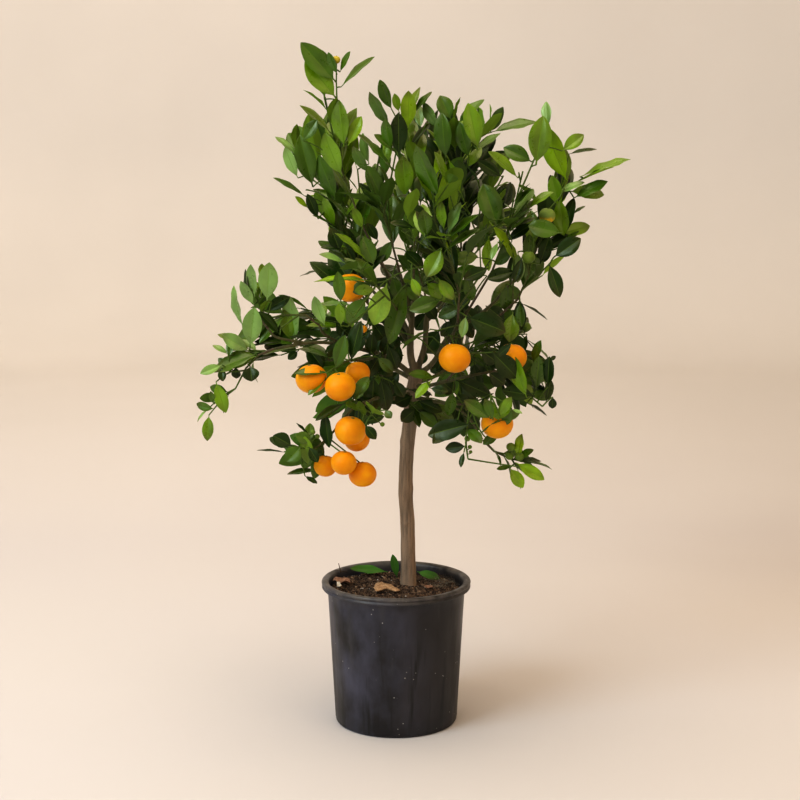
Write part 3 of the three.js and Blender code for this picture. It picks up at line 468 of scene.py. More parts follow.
    (424, 268, 404, 250, 13, "deep", -75), (446, 300, 426, 282, 14, "bright", -90),
    (462, 330, 448, 304, 14, "deep", -60), (420, 300, 404, 286, 11, "mid", -80),
    (436, 320, 424, 302, 12, "deep", -60), (380, 262, 392, 240, 11, "mid", -70),
    (458, 236, 470, 214, 13, "deep", -60), (400, 300, 392, 276, 12, "mid", -70),
    (338, 272, 341, 303, 12, "mid"), (313, 479, 322, 450, 12, "mid"), (318, 462, 309, 447, 10, "deep"),
)

# Twigs that stand out: start, bend, end and depth (mm along Y).
STEM_MARKS = (
    (337, 100, 336, 84, 336.5, 65, -41), (444, 268, 412, 262, 386, 281, -112),
    (386, 281, 368, 286, 350, 279, -116), (466, 436, 466, 450, 468, 459, -118),
    (468, 459, 492, 463, 520, 467, -110), (473, 412, 476, 428, 486, 438, -112),
)

# Gaps through the foliage, as centre and radius. Nothing grown hangs in them.
GAP_MARKS = (
    (222, 312, 9), (214, 322, 8), (240, 390, 6), (254, 390, 7), (564, 366, 5), (563, 385, 5),
    (563, 400, 4), (338, 70, 7), (343, 92, 6), (330, 100, 4), (347, 78, 6), (289, 170, 5), (280, 205, 4),
    (286, 225, 5), (292, 240, 5), (300, 262, 6), (270, 195, 4), (276, 460, 5), (268, 456, 5),
    (560, 372, 3), (478, 135, 5), (472, 128, 4), (323, 92, 11), (352, 92, 10), (318, 112, 5),
    (350, 105, 7), (355, 70, 8), (320, 182, 5), (362, 168, 7), (358, 180, 5), (374, 160, 4),
    (388, 174, 4), (397, 192, 3), (404, 146, 3), (421, 146, 3), (426, 205, 5), (477, 226, 5),
    (483, 212, 7), (526, 176, 6), (540, 186, 5), (512, 178, 3), (404, 262, 3), (404, 281, 3),
    (500, 290, 5), (482, 298, 5), (518, 283, 3), (435, 308, 3), (395, 250, 4), (470, 241, 4),
    (545, 205, 3), (566, 182, 3), (575, 165, 6), (308, 228, 6), (300, 215, 5), (318, 238, 4),
    (300, 250, 8), (560, 215, 2), (245, 330, 3), (262, 325, 3), (300, 330, 3), (310, 415, 8),
    (330, 408, 4), (250, 420, 10), (365, 455, 4), (445, 400, 3), (487, 380, 3), (505, 440, 4),
    (527, 425, 5), (300, 390, 6), (356, 163, 4), (358, 172, 5), (362, 180, 5), (366, 187, 4),
    (356, 192, 4), (373, 162, 3), (388, 172, 3), (320, 146, 5), (318, 153, 3), (306, 180, 4),
    (309, 188, 4), (322, 183, 4), (330, 219, 3), (388, 237, 3), (398, 232, 2), (405, 241, 2),
    (391, 250, 5), (384, 261, 5), (413, 257, 3), (425, 204, 3), (288, 188, 5), (296, 203, 4),
    (318, 232, 5), (316, 240, 3), (314, 256, 4), (512, 173, 5), (504, 181, 3), (516, 182, 3),
    (525, 172, 3), (525, 183, 3), (545, 166, 5), (541, 178, 5), (470, 193, 5), (479, 209, 5),
    (480, 217, 4), (474, 226, 4), (466, 238, 4), (476, 239, 4), (485, 297, 5), (477, 296, 3),
    (497, 288, 3), (567, 189, 3), (576, 202, 6), (510, 136, 5), (523, 137, 5), (527, 292, 5),
    (540, 286, 5), (534, 301, 5), (300, 291, 7), (310, 293, 6), (288, 288, 5), (304, 312, 4),
    (265, 385, 7), (280, 375, 8), (247, 388, 5), (255, 389, 5), (233, 390, 6), (209, 380, 4),
    (404, 278, 4), (430, 308, 3), (562, 366, 7), (540, 327, 5), (538, 336, 5), (508, 380, 4),
    (483, 382, 4), (475, 344, 4), (562, 382, 8), (565, 396, 8), (275, 457, 5), (268, 463, 4),
    (432, 346, 3), (434, 357, 3), (438, 366, 3), (407, 363, 3), (455, 390, 4), (447, 405, 4),
    (468, 417, 3), (487, 383, 5), (395, 409, 3),
)

# Small bumps and hollows on the trunk: place, reach and height.
KNOTS = (
    ((20.5, 0.0, 331.0), 7.0, -1.1),
    ((12.0, -0.4, 255.0), 3.2, 1.3),
    ((20.6, 4.0, 300.0), 6.0, 1.2),
    ((5.0, 5.0, 362.0), 5.0, 1.0),
    ((22.0, -4.0, 214.0), 4.0, 0.8),
)

# Small fruit, and fruit that show little: place, diameter and how ripe.
SMALL_FRUIT = (
    (182, -50, 648, 20, "turning"),
    (158, -80, 600, 16, "green"),
    (-40, -62, 512, 10.5, "ripe"),
    (-71, -47, 832, 10.0, "turning"),
    (85, -116, 387, 7.1, "green"),
    (88, -116, 377, 5.2, "green"),
    (139, -84, 371, 11.1, "green"),
    (138, -78, 359, 10.7, "green"),
    (150, -84, 359, 10.7, "green"),
    (170, 110, 495, 13.9, "green"),
    (-99, -110, 394, 6.2, "green"),
    (-94, -106, 388, 6.2, "green"),
    (-16, -120, 405, 5.7, "green"),
    (89, -116, 371, 4.3, "green"),
)

# Leaves on the compost: root, tip, the way the upper side faces, width and curl.
FALLEN_LEAVES = (
    ((-11, 54, 179), (-60, 50, 187), (0.03, -0.35, 0.93), 19, 0.05),
    ((27, 52, 180), (57, 38, 176), (-0.1, -0.45, 0.9), 15, 0.06),
    ((1, 39, 175), (-4, 40, 206), (0.1, -1, 0.15), 10.5, 0.06),
)

# Dry flakes on the compost: finish, lift, crumple and outline seen from above.
FLAKES = (
    ("tan", 177, 2.6, (
        (-29, -27), (-26, -3), (-19, 6), (-5, -11), (5, -37), (-3, -34), (-10, -25), (-18, -30),
        (-25, -37),
    )),
    ("brown", 178, 3.0, ((-81, 16), (-78, 26), (-70, 27), (-60, 14), (-58, 4), (-66, 1), (-75, 3), (-81, 8))),
    ("pale", 178, 2.0, ((-76, 3), (-72, 3), (-69, -14), (-72, -21), (-75, -17))),
    ("brown", 176, 1.5, ((35, -5), (44, -2), (47, -12), (38, -14))),
)

# Sticks on the compost: from, to and radius.
STICKS = (
    ((-72, 42, 181), (-75, 44, 193), 0.7),
    ((-64, 45, 181), (-80, 30, 188), 0.5),
    ((31, -20, 174), (38, -5, 180), 0.5),
    ((-9, 53, 174), (4, 47, 178), 0.45),
    ((52, 58, 174), (72, 18, 179), 0.4),
    ((-47, 14, 174), (-32, 21, 177), 0.4),
    ((11, -20, 174), (26, -18, 177), 0.4),
)

# Lights: name, place, aim, width, power and colour.
LIGHTS = (
    ("Key", (-2.3, -2.0, 2.3), (0, 0, 0.45), 1.8, 84, (0.70, 0.88, 1.0)),
    ("Fill", (2.0, -2.1, 1.6), (0, 0, 0.45), 2.0, 15, (1.0, 0.78, 0.54)),
    ("Back", (-0.8, 1.3, 2.9), (-0.6, 4.2, 1.2), 2.0, 30, (1.0, 0.97, 0.93)),
    ("Top", (-0.3, -0.2, 2.9), (0, 0.1, 0.6), 2.4, 50, (1.0, 0.92, 0.80)),
)

# What a mass of foliage is where its own row says nothing else. Angles are in degrees.
USUAL = dict(shoot=66, open=42, lift=0.4, leaf=60, space=62, bare=0.08, apart=25, leaf_apart=18)

TWIG = dict(radius=1.7, shoot_radius=1.3, tip_radius=1.0, stem_steps=3, tries=4)
LEAF = dict(open=44, width=0.47, curl=0.1, sunk=0.6, tries=5)
FRUIT = dict(oblate=0.92, stalk_radius=0.9, sunk=4, show=0.5, widen=0.42)
KEEP = dict(space=0.6, limb=6.5, shoot=3.4, leaf=3.5, fruit=2.5)

UP = np.array((0.0, 0.0, 1.0))


# ---------------------------------------------------------------- the rule of growth


def seeded(seed):
    """A repeatable stream of numbers from 0 to 1."""
    state = math.fmod(float(seed) * 2654435761.0, 4294967296.0)

    def draw():
        nonlocal state
        state = math.fmod(state * 1664525.0 + 1013904223.0, 4294967296.0)
        return state / 4294967296.0

    return draw


def between(low, high, share):
    return low + (high - low) * share


def unit(v):
    return v / math.sqrt(float(v @ v))


def cross(a, b):
    return np.array(
        (a[1] * b[2] - a[2] * b[1], a[2] * b[0] - a[0] * b[2], a[0] * b[1] - a[1] * b[0])
    )


def square_to(heading):
    return unit(cross(heading, np.array((1.0, 0.0, 0.0)) if abs(heading[2]) > 0.9 else UP))


def turned_to(heading, side):
    return unit(side - heading * float(side @ heading))


def radial(heading, side, turn):
    return side * math.cos(turn) + cross(heading, side) * math.sin(turn)


def smooth_path(points):
    """A smooth path through points, giving (place, heading) at each share of its length."""
    knots = [np.array(p, float) for p in points]
    knots = [2 * knots[0] - knots[1], *knots, 2 * knots[-1] - knots[-2]]
    last = len(points) - 1

    def path(share):
        along = min(max(share, 0.0), 1.0) * last
        k = min(int(along), last - 1)
        t = along - k
        a, b, c, d = knots[k : k + 4]
        t2, t3 = t * t, t * t * t
        at = (
            a * (-0.5 * t3 + t2 - 0.5 * t)
            + b * (1.5 * t3 - 2.5 * t2 + 1)
            + c * (-1.5 * t3 + 2 * t2 + 0.5 * t)
            + d * (0.5 * t3 - 0.5 * t2)
        )
        heading = (
            a * (-1.5 * t2 + 2 * t - 0.5)
            + b * (4.5 * t2 - 5 * t)
            + c * (-4.5 * t2 + 4 * t + 0.5)
            + d * (1.5 * t2 - t)
        )
        return at, unit(heading)

    return path


class Twig:
    """A path in straight steps with a taper. A kept twig stays whole although it may be bare."""

    def __init__(self, knots, radius, tip_radius, parent=None, kept=False):
        self.knots, self.parent, self.kept = knots, parent, kept
        self.radius, self.tip_radius = radius, tip_radius
        self.headings = [unit(b - a) for a, b in zip(knots, knots[1:])]
        self.sides = [square_to(self.headings[0])]
        for heading in self.headings[1:]:
            self.sides.append(turned_to(heading, self.sides[-1]))
        self.length = sum(float(np.linalg.norm(b - a)) for a, b in zip(knots, knots[1:]))
        self.steps = len(knots) - 1

    def path(self, share):
        along = min(max(share, 0.0), 1.0) * self.steps
        k = min(int(along), self.steps - 1)
        at = self.knots[k] + (self.knots[k + 1] - self.knots[k]) * (along - k)
        return at, self.headings[k], self.sides[k]

    def radius_at(self, share):
        return between(self.radius, self.tip_radius, share)


def bend_knots(a, b, c, steps):
    knots = []
    for k in range(steps + 1):
        share = k / steps
        rest = 1 - share
        knots.append(a * rest * rest + b * 2 * rest * share + c * share * share)
    return knots


def grow_limbs():
    """The trunk and every bough: a path, its radius at each share, and its parent."""
    radii = [radius for _, radius in TRUNK]

    def trunk_radius(share):
        along = share * (len(radii) - 1)
        k = min(int(along), len(radii) - 2)
        return between(radii[k], radii[k + 1], along - k)

    limbs = {"trunk": dict(path=smooth_path([at for at, _ in TRUNK]), radius_at=trunk_radius)}
    for name, bough in BOUGHS.items():
        start = limbs[bough["parent"]]["path"](bough["start"])[0]
        low, high = bough["radius"]
        limbs[name] = dict(
            path=smooth_path([start, *bough["through"]]),
            radius_at=lambda share, low=low, high=high: between(low, high, share),
        )
    return limbs


def grow_stem(mass, limbs):
    limb = limbs[mass["on"]]
    start, heading = limb["path"](mass.get("start", 1))
    tip = np.array(mass["tip"], float)
    if "start" in mass:
        heading = unit(tip - start)
        start = start + heading * (limb["radius_at"](mass["start"]) + 1)

    def bend(foot):
        towards = foot + heading * (0.45 * float(np.linalg.norm(tip - foot)))
        return bend_knots(foot, towards, tip, TWIG["stem_steps"])

    start = start + heading * GAP
    foot, following = bend(start)[:2]
    lean = float(np.linalg.norm(cross(unit(following - foot), heading)))
    start = start + heading * (lean * TWIG["radius"])
    return Twig(bend(start), TWIG["radius"], TWIG["tip_radius"])


def grow_shoot(mass, parent, share, turn, size, draw):
    start, heading, side = parent.path(share)
    spread = math.radians(mass["open"]) * (0.8 + 0.4 * draw())
    length = mass["shoot"] * size * (1.1 - 0.35 * share) * (0.8 + 0.4 * draw())
    away = radial(heading, side, turn + 0.9 * draw())
    lean = away * math.sin(spread) + heading * math.cos(spread) + UP * (0.6 * mass["lift"])
    knots = [start, start + unit(lean) * length]
    return Twig(knots, TWIG["shoot_radius"], TWIG["tip_radius"], parent)


def grow_leaf(mass, twig, share, turn, spread, size, draw):
    centre, heading, side = twig.path(share)
    angle = math.radians(spread) * (0.75 + 0.5 * draw())
    away = radial(heading, side, turn + 0.6 * (draw() - 0.5))
    root = centre + away * (math.sin(angle) * 0.3 * twig.radius_at(share))
    direction = unit(
        heading * math.cos(angle) + away * math.sin(angle) + UP * (0.25 * mass["lift"])
    )
    upper = heading + UP * 0.7
    upper = unit(upper - direction * float(upper @ direction))
    roll = 0.9 * (draw() - 0.5)
    normal = upper * math.cos(roll) + cross(direction, upper) * math.sin(roll)
    length = mass["leaf"] * size * (0.78 + 0.4 * draw())
    width = length * LEAF["width"] * (0.9 + 0.2 * draw())
    curl = LEAF["curl"] * (0.4 + 1.2 * draw())
    return dict(
        twig=twig, root=root, direction=direction, normal=normal,
        across=cross(direction, normal), length=length, width=width, curl=curl,
    )


def leaf_points(leaf, places):
    """Points of a leaf at (share of its length, share of its half width)."""
    along, aside = np.asarray(places, float).T[:, :, None]
    length = leaf["length"]
    return (
        leaf["root"]
        + leaf["direction"] * (length * along)
        + leaf["across"] * (aside * leaf["width"] / 2)
        - leaf["normal"] * (leaf["curl"] * length * along * along)
    )


LEAF_OUTLINE = ((0, 0), (0.4, 1), (0.76, 0.78), (1, 0), (0.76, -0.78), (0.4, -1))
UNDERSIDE = np.array(((0, 5, 1), (1, 5, 4), (1, 4, 2), (2, 4, 3)))
LEAF_PROBES = (
    (0.22, 0), (0.4, 1), (0.4, -1), (0.42, 0), (0.6, 0), (0.76, 0.78), (0.76, -0.78), (0.8, 0), (1, 0)
)
LEAF_SPINE = ((0.3, 0), (0.6, 0), (0.95, 0))


def segments_pierce(starts, ends, faces):
    """Whether any of the segments passes through any of the triangles."""
    ray = ends - starts
    one, two = faces[:, 1] - faces[:, 0], faces[:, 2] - faces[:, 0]
    square = np.cross(ray[:, None], two[None])
    away = starts[:, None] - faces[None, :, 0]
    turned = np.cross(away, one[None])
    with np.errstate(divide="ignore", invalid="ignore"):
        scale = 1 / (square * one).sum(-1)
        u = (away * square).sum(-1) * scale
        v = (turned * ray[:, None]).sum(-1) * scale
        share = (turned * two).sum(-1) * scale
        hit = (u >= 0) & (v >= 0) & (u + v <= 1) & (share > 0) & (share < 1)
    return bool(hit.any())


class Canopy:
    """All the masses' spaces, and what shoots and leaves keep clear of."""

    def __init__(self):
        self.limbs = grow_limbs()
        self.masses = {name: {**USUAL, **row, "name": name} for name, row in MASSES.items()}
        rods, fruits = [], []
        for name, limb in self.limbs.items():
            rods += self.rods_of(name, limb["path"], limb["radius_at"], 8)
        for name, mass in self.masses.items():
            mass["stem"] = grow_stem(mass, self.limbs)
            mass["site"] = mass["stem"].path(0.62)[0]
            rods += self.rods_of(name, mass["stem"].path, lambda share: TWIG["radius"], 4)
            fruits += mass.get("fruits", [])
        self.names = list(self.masses)
        self.sites = np.array([mass["site"] for mass in self.masses.values()])
        self.weights = np.array([float(mass["space"]) ** 2 for mass in self.masses.values()])
        self.rod_owner = np.array([owner for owner, *_ in rods])
        self.rod_start = np.array([a for _, a, _, _ in rods])
        self.rod_along = np.array([b - a for _, a, b, _ in rods])
        self.rod_radius = np.array([radius for *_, radius in rods])
        self.rod_square = (self.rod_along**2).sum(-1)
        self.fruit_at = np.array([fruit[:3] for fruit in fruits], float)
        self.fruit_radius = np.array([fruit[3] / 2 for fruit in fruits])
        out = self.fruit_at - np.array(TRUNK[0][0])
        out[:, 2] = 0
        self.fruit_out = out / np.linalg.norm(out, axis=1)[:, None]
        for name, mass in self.masses.items():
            own = self.names.index(name)
            apart = np.linalg.norm(self.sites - mass["site"], axis=1)
            mass["others"] = np.arange(len(self.names)) != own
            mass["walls"] = 2 * np.maximum(apart, 1e-9)
            mass["own"] = own
            mass["foreign"] = self.rod_owner != name

    @staticmethod
    def rods_of(owner, path, radius_at, steps):
        places = [path(k / steps)[0] for k in range(steps + 1)]
        return [
            (owner, places[k], places[k + 1], radius_at((k + 0.5) / steps)) for k in range(steps)
        ]

    def in_space(self, points, mass, margin):
        theirs = ((points[:, None] - self.sites) ** 2).sum(-1) - self.weights
        wall = (theirs - theirs[:, mass["own"], None]) / mass["walls"]
        return bool((wall[:, mass["others"]] > margin).all())

    def clear_of_rods(self, points, mass, clearance):
        keep = mass["foreign"]
        start, along = self.rod_start[keep], self.rod_along[keep]
        offset = points[:, None] - start
        share = np.clip((offset * along).sum(-1) / self.rod_square[keep], 0, 1)
        distance = np.linalg.norm(offset - along * share[..., None], axis=-1)
        return bool((distance - self.rod_radius[keep] > clearance).all())

    def clear_of_fruit(self, points, clearance):
        offset = points[:, None] - self.fruit_at
        far = np.linalg.norm(offset, axis=-1) >= self.fruit_radius + clearance
        ahead = (offset * self.fruit_out).sum(-1)
        aside = np.linalg.norm(offset - self.fruit_out * ahead[..., None], axis=-1)
        open_cone = FRUIT["show"] * self.fruit_radius + FRUIT["widen"] * ahead
        return bool((far & ((ahead < 0) | (aside > open_cone))).all())

    def shoot_fits(self, shoot, mass):
        points = np.array([shoot.path(k / 12)[0] for k in range(2, 13)])
        return (
            self.in_space(points, mass, KEEP["space"] + TWIG["radius"])
            and self.clear_of_rods(points, mass, KEEP["shoot"])
            and self.clear_of_fruit(points, KEEP["fruit"] + TWIG["radius"])
        )

    def leaf_fits(self, leaf, mass, grown):
        points = leaf_points(leaf, LEAF_PROBES)
        if not self.in_space(points, mass, KEEP["space"]):
            return False
        if not self.clear_of_rods(points, mass, KEEP["limb"]):
            return False
        if not self.clear_of_fruit(points, KEEP["fruit"]):
            return False
        rim, spine = leaf_points(leaf, LEAF_OUTLINE), leaf_points(leaf, LEAF_SPINE)
        if grown.leaves:
            apart = np.linalg.norm(spine[:, None] - grown.spines[None], axis=-1)
            if apart.min() < grown.leaf_gap or grown.crossed_by(rim):
                return False
        others = [twig for twig in grown.twigs if twig is not leaf["twig"]]
        if others:
            a = np.array([knot for twig in others for knot in twig.knots[:-1]])
            b = np.array([knot for twig in others for knot in twig.knots[1:]])
            if segments_pierce(a, b, rim[UNDERSIDE]):
                return False
        leaf["rim"], leaf["spine"] = rim, spine
        grown.add(leaf)
        return True


class Growth:
    """The twigs and leaves of one mass."""

    def __init__(self, stem):
        self.twigs, self.leaves = [stem], []
        self.leaf_gap = KEEP["leaf"]
        self.starts = self.ends = np.empty((0, 3))
        self.faces = np.empty((0, 3, 3))
        self.spines = np.empty((0, 3))

    def add(self, leaf):
        rim = leaf["rim"]
        self.leaves.append(leaf)
        self.starts = np.concatenate((self.starts, rim))
        self.ends = np.concatenate((self.ends, np.roll(rim, -1, axis=0)))
        self.faces = np.concatenate((self.faces, rim[UNDERSIDE]))
        self.spines = np.concatenate((self.spines, leaf["spine"]))

    def crossed_by(self, rim):
        """Whether a leaf's outline passes through any leaf here, or one of these through it."""
        if segments_pierce(rim, np.roll(rim, -1, axis=0), self.faces):
            return True
        return segments_pierce(self.starts, self.ends, rim[UNDERSIDE])


def grow_leaves(crown, mass, twig, row, grown):
    reach = min(twig.length, 2.6 * mass["shoot"])
    bare = 1 - (0.8 * reach) / twig.length
    count = max(2, int(0.8 * reach / mass["leaf_apart"] + 0.5))
    for k in range(count):
        draw = seeded(10000 * mass["seed"] + 100 * row + k)
        last = k == count - 1
        share = 1 - LEAF["sunk"] / twig.length if last else between(bare, 0.96, (k + 0.5) / (count - 0.5))
        for attempt in range(LEAF["tries"]):
            turn = (2 * (k + row + attempt) + 1) * math.pi / 3
            spread = 16 if last else LEAF["open"]
            leaf = grow_leaf(mass, twig, share, turn, spread, 1 - 0.08 * attempt, draw)
            leaf["spray"] = row
            if crown.leaf_fits(leaf, mass, grown):
                break


def grow_mass(crown, mass):
    stem = mass["stem"]
    grown = Growth(stem)
    count = int(stem.length / mass["apart"] + 0.5)
    for k in range(count):
        draw = seeded(100 * mass["seed"] + k)
        share = between(mass["bare"], 0.92, (k + 0.2 + 0.6 * draw()) / count)
        for attempt in range(TWIG["tries"]):
            turn = mass["seed"] + k * GOLDEN_TURN + attempt * 1.3
            shoot = grow_shoot(mass, stem, share, turn, 1 - 0.12 * attempt, draw)
            if crown.shoot_fits(shoot, mass):
                grown.twigs.append(shoot)
                break
    for row, twig in enumerate(list(grown.twigs)):
        grow_leaves(crown, mass, twig, row, grown)
    return grown


# The finer growth: spacings, sizes against the first growth's, spreads in degrees, radii and the
# room that leaves keep, how far it may pass the first growth, and how big leaves are brought back.
FINE = dict(
    twig_apart=20, twig=0.5, leaf=0.98, leaf_apart=12.5, twig_open=40, leaf_open=36, tries=6,
    radius=0.95, tip_radius=0.75, gap=2.4, margin=6, longest=64, beyond=0.35, slim=0.9, rise=0.12,
)

# Radii of the thin twigs that reach marked leaves, of marked stems, and of the tips of both.
THIN = dict(link=1.05, stem=1.1, tip=0.8)


def hull_walls(points):
    """The outward walls of the convex hull round some points, as (normal, distance)."""
    shell = bmesh.new()
    for point in points:
        shell.verts.new(point)
    bmesh.ops.convex_hull(shell, input=shell.verts)
    shell.normal_update()
    centre = np.mean(points, axis=0)
    walls = []
    for face in shell.faces:
        normal = np.array(face.normal)
        distance = float(normal @ np.array(face.verts[0].co))
        walls.append((normal, distance) if distance > float(normal @ centre) else (-normal, -distance))
    shell.free()
    return np.array([n for n, _ in walls]), np.array([d for _, d in walls])


def in_view(points):
    """Where points show in the main view, in its pixels."""
    offset = points - EYE
    ahead = offset[..., 1] * math.cos(PITCH) - offset[..., 2] * math.sin(PITCH)
    rise = offset[..., 2] * math.cos(PITCH) + offset[..., 1] * math.sin(PITCH)
    across = VIEW_MIDDLE + VIEW_FOCAL * offset[..., 0] / ahead
    return np.stack((across, VIEW_MIDDLE - VIEW_FOCAL * rise / ahead), axis=-1)


def from_view(x, y, depth):
    """The place at a depth that shows at a pixel of the main view, and the mm in a pixel there."""
    slope = (VIEW_MIDDLE - y) / VIEW_FOCAL
    far = depth - EYE[1]
    up = far * (slope * math.cos(PITCH) - math.sin(PITCH)) / (math.cos(PITCH) + slope * math.sin(PITCH))
    scale = (far * math.cos(PITCH) - up * math.sin(PITCH)) / VIEW_FOCAL
    return np.array((EYE[0] + (x - VIEW_MIDDLE) * scale, depth, EYE[2] + up)), scale


# A marked leaf's usual width for its length, the share of it that still counts as flat, and the
# cosine of the most that a leaf is turned about its rib.
MARKED = dict(width=0.42, flat=0.86, turned=0.45)

# How a marked leaf hangs by its twig: how strongly nearer twigs count (pixels for each mm), and how
# far its foot and its tip stand before the twig (mm).
HANGS = {"before": (0.07, 6, 7), "behind": (-0.04, -2, -4)}


def marked_leaf(root, tip, width, tint, number):
    """A leaf between two places. One that looks narrow is turned about its rib."""
    length = float(np.linalg.norm(tip - root))
    usual, turned = MARKED["width"] * length, 0.0
    if width < MARKED["flat"] * usual:
        turned = math.acos(max(MARKED["turned"], width / usual))
        width = min(usual, width / MARKED["turned"])
    direction = unit(tip - root)
    faced = turned_to(direction, np.array((0.0, -1.0, 0.35)))
    aside = cross(direction, faced)
    if aside[2] < 0.8 * aside[0]:
        turned = -turned
    normal = faced * math.cos(turned) + aside * math.sin(turned)
    return dict(
        twig=None, root=root, direction=direction, normal=normal, across=cross(direction, normal),
        length=length, width=1.06 * width, curl=0.075, spray=50 + number, tint=tint,
    )


def marked(grown):
    """The leaves and twigs of LEAF_MARKS and STEM_MARKS, by the mass that each hangs by."""
    owners, places = [], []
    for name, growth in grown.items():
        for twig in growth.twigs:
            owners += [name] * 10
            places += [twig.path(k / 10)[0] for k in range(1, 11)]
    places = np.array(places)
    seen = in_view(places)
    leaves, stems = {}, {}
    for tip_x, tip_y, root_x, root_y, width, tint, *where in LEAF_MARKS:
        where = where[0] if where else "before"
        lean, root_out, tip_out = HANGS[where if where in HANGS else "behind"]
        if where in HANGS:
            away = np.linalg.norm(seen - (root_x, root_y), axis=-1) + lean * places[:, 1]
            nearest = int(away.argmin())
            depth = places[nearest, 1] - root_out
        else:
            goal = from_view(root_x, root_y, where)[0]
            nearest = int(np.linalg.norm(places - goal, axis=-1).argmin())
            depth = where + 4
        root, scale = from_view(root_x, root_y, depth)
        tip = from_view(tip_x, tip_y, depth - tip_out)[0]
        group = leaves.setdefault(owners[nearest], [])
        group.append(marked_leaf(root, tip, width * scale, tint, len(group)))
    for *pixels, depth in STEM_MARKS:
        pairs = zip(pixels[::2], pixels[1::2], (0, 3, 4))
        knots = [from_view(x, y, depth - nearer)[0] for x, y, nearer in pairs]
        nearest = int(np.linalg.norm(places - knots[0], axis=-1).argmin())
        stems.setdefault(owners[nearest], []).append(knots)
    return leaves, stems


# The masses whose fruit hangs with its face free of grown leaves.
OPEN_FRUIT = ("left_fruit", "left_hanging", "low_sprig", "right_inner")


# How much of an open fruit's width is kept free, and how far across the view a grown leaf may hide a
# marked one (pixels).
FREE_FACE = 0.45
LEAF_NEAR = 87


class Front:
    """What must stay free in front: marked leaves, open fruit and round gaps through the tree."""

    def __init__(self, placed, fruit):
        rims = np.array([leaf_points(leaf, LEAF_OUTLINE) for leaf in placed])
        self.depth = rims[:, :, 1].mean(axis=1)
        self.start = in_view(rims)
        self.side = np.roll(self.start, -1, axis=1) - self.start
        gaps = np.array(GAP_MARKS, float)
        self.gap_at, self.gap_reach = gaps[:, :2], gaps[:, 2]
        fruit = np.array(fruit, float)
        self.fruit_at, self.fruit_depth = in_view(fruit[:, :3]), fruit[:, 1]
        self.fruit_reach = FREE_FACE * fruit[:, 3] * VIEW_FOCAL / (fruit[:, 1] - EYE[1])

    def blocked_by(self, leaf, most):
        """Whether more than so many of a leaf's points stand before a single leaf or in a gap."""
        points = leaf_points(leaf, LEAF_PROBES)
        seen = in_view(points)[:, None]
        far = np.linalg.norm(seen - self.gap_at, axis=-1)
        in_gap = (far < self.gap_reach).any(axis=1)
        over_fruit = np.linalg.norm(seen - self.fruit_at, axis=-1) < self.fruit_reach
        in_gap |= (over_fruit & (points[:, 1:2] < self.fruit_depth)).any(axis=1)
        near = np.abs(self.start[:, 0, 0] - seen[3, 0, 0]) < LEAF_NEAR
        offset = seen[:, None] - self.start[None, near]
        side = self.side[None, near]
        turn = side[..., 0] * offset[..., 1] - side[..., 1] * offset[..., 0]
        inside = (turn > 0).all(axis=-1) | (turn < 0).all(axis=-1)
        before = points[:, None, 1] < self.depth[None, near]
        return int((in_gap | (inside & before).any(axis=1)).sum()) > most


def nearest_on(twigs, goal):
    """The nearest to a place of eight points along each of some twigs, with its twig."""
    points = [(twig.path(k / 8)[0], twig) for twig in twigs for k in range(1, 9)]
    return min(points, key=lambda point: float(np.linalg.norm(point[0] - goal)))


def reach_from(twigs, goal, bow):
    """A thin twig to a place from the nearest point of some twigs."""
    nearest, parent = nearest_on(twigs, goal)
    far = float(np.linalg.norm(nearest - goal))
    if far < 1.5:
        return parent
    knots = bend_knots(nearest, (nearest + goal) / 2 + UP * (bow * far), goal, 3)
    return Twig(knots, THIN["link"], THIN["tip"], parent)


def place_leaves(grown, placed, stems, front):
    """Adds a mass's marked leaves, each on its own bit of twig, and drops what is in their way."""
    kept = Growth(grown.twigs[0])
    kept.twigs = grown.twigs
    reached = list(grown.twigs)
    for knots in stems:
        start, bend, end = np.array(knots, float)
        link = reach_from(grown.twigs, start, 0.1)
        stem = Twig(bend_knots(start, bend, end, 5), THIN["stem"], THIN["tip"], link, kept=True)
        reached += [stem] if link in reached else [link, stem]
    own = list(reached)
    for leaf in placed:
        link = reach_from(own, leaf["root"], 0.12)
        leaf["bearer"] = link
        if link not in reached:
            reached.append(link)
        leaf["rim"], leaf["spine"] = leaf_points(leaf, LEAF_OUTLINE), leaf_points(leaf, LEAF_SPINE)
    for leaf in placed + grown.leaves:
        grown_leaf = leaf["twig"] is not None
        if grown_leaf and placed and kept.crossed_by(leaf["rim"]):
            continue
        if grown_leaf and front.blocked_by(leaf, 1):
            continue
        kept.add(leaf)
    kept.twigs = reached
    return kept


def without_bare(grown, stalks):
    """The twigs that bear a leaf, a fruit or another such twig, each cut back to the last of these."""
    borne = {}

    def bear(twig, at):
        borne.setdefault(id(twig), []).append(at)

    for leaf in grown.leaves:
        bear(leaf.get("bearer") or leaf["twig"], leaf["root"])
    for stalk in stalks:
        bear(stalk.parent, stalk.knots[0])
    for twig in reversed(grown.twigs):
        if twig.parent is not None and (id(twig) in borne or twig.kept):
            bear(twig.parent, twig.knots[0])
    needed = [twig for twig in grown.twigs if id(twig) in borne or twig.kept]
    for twig in needed:
        if twig.kept:
            continue
        path = np.array([twig.path(k / 16)[0] for k in range(17)])
        far = np.linalg.norm(np.array(borne[id(twig)])[:, None] - path, axis=-1)
        reach = max(int(far.argmin(axis=1).max()) + 1, 3) / 16
        if reach < 1:
            knots = [twig.path(reach * k / twig.steps)[0] for k in range(twig.steps + 1)]
            twig.__init__(knots, twig.radius, twig.tip_radius, twig.parent)
    return needed


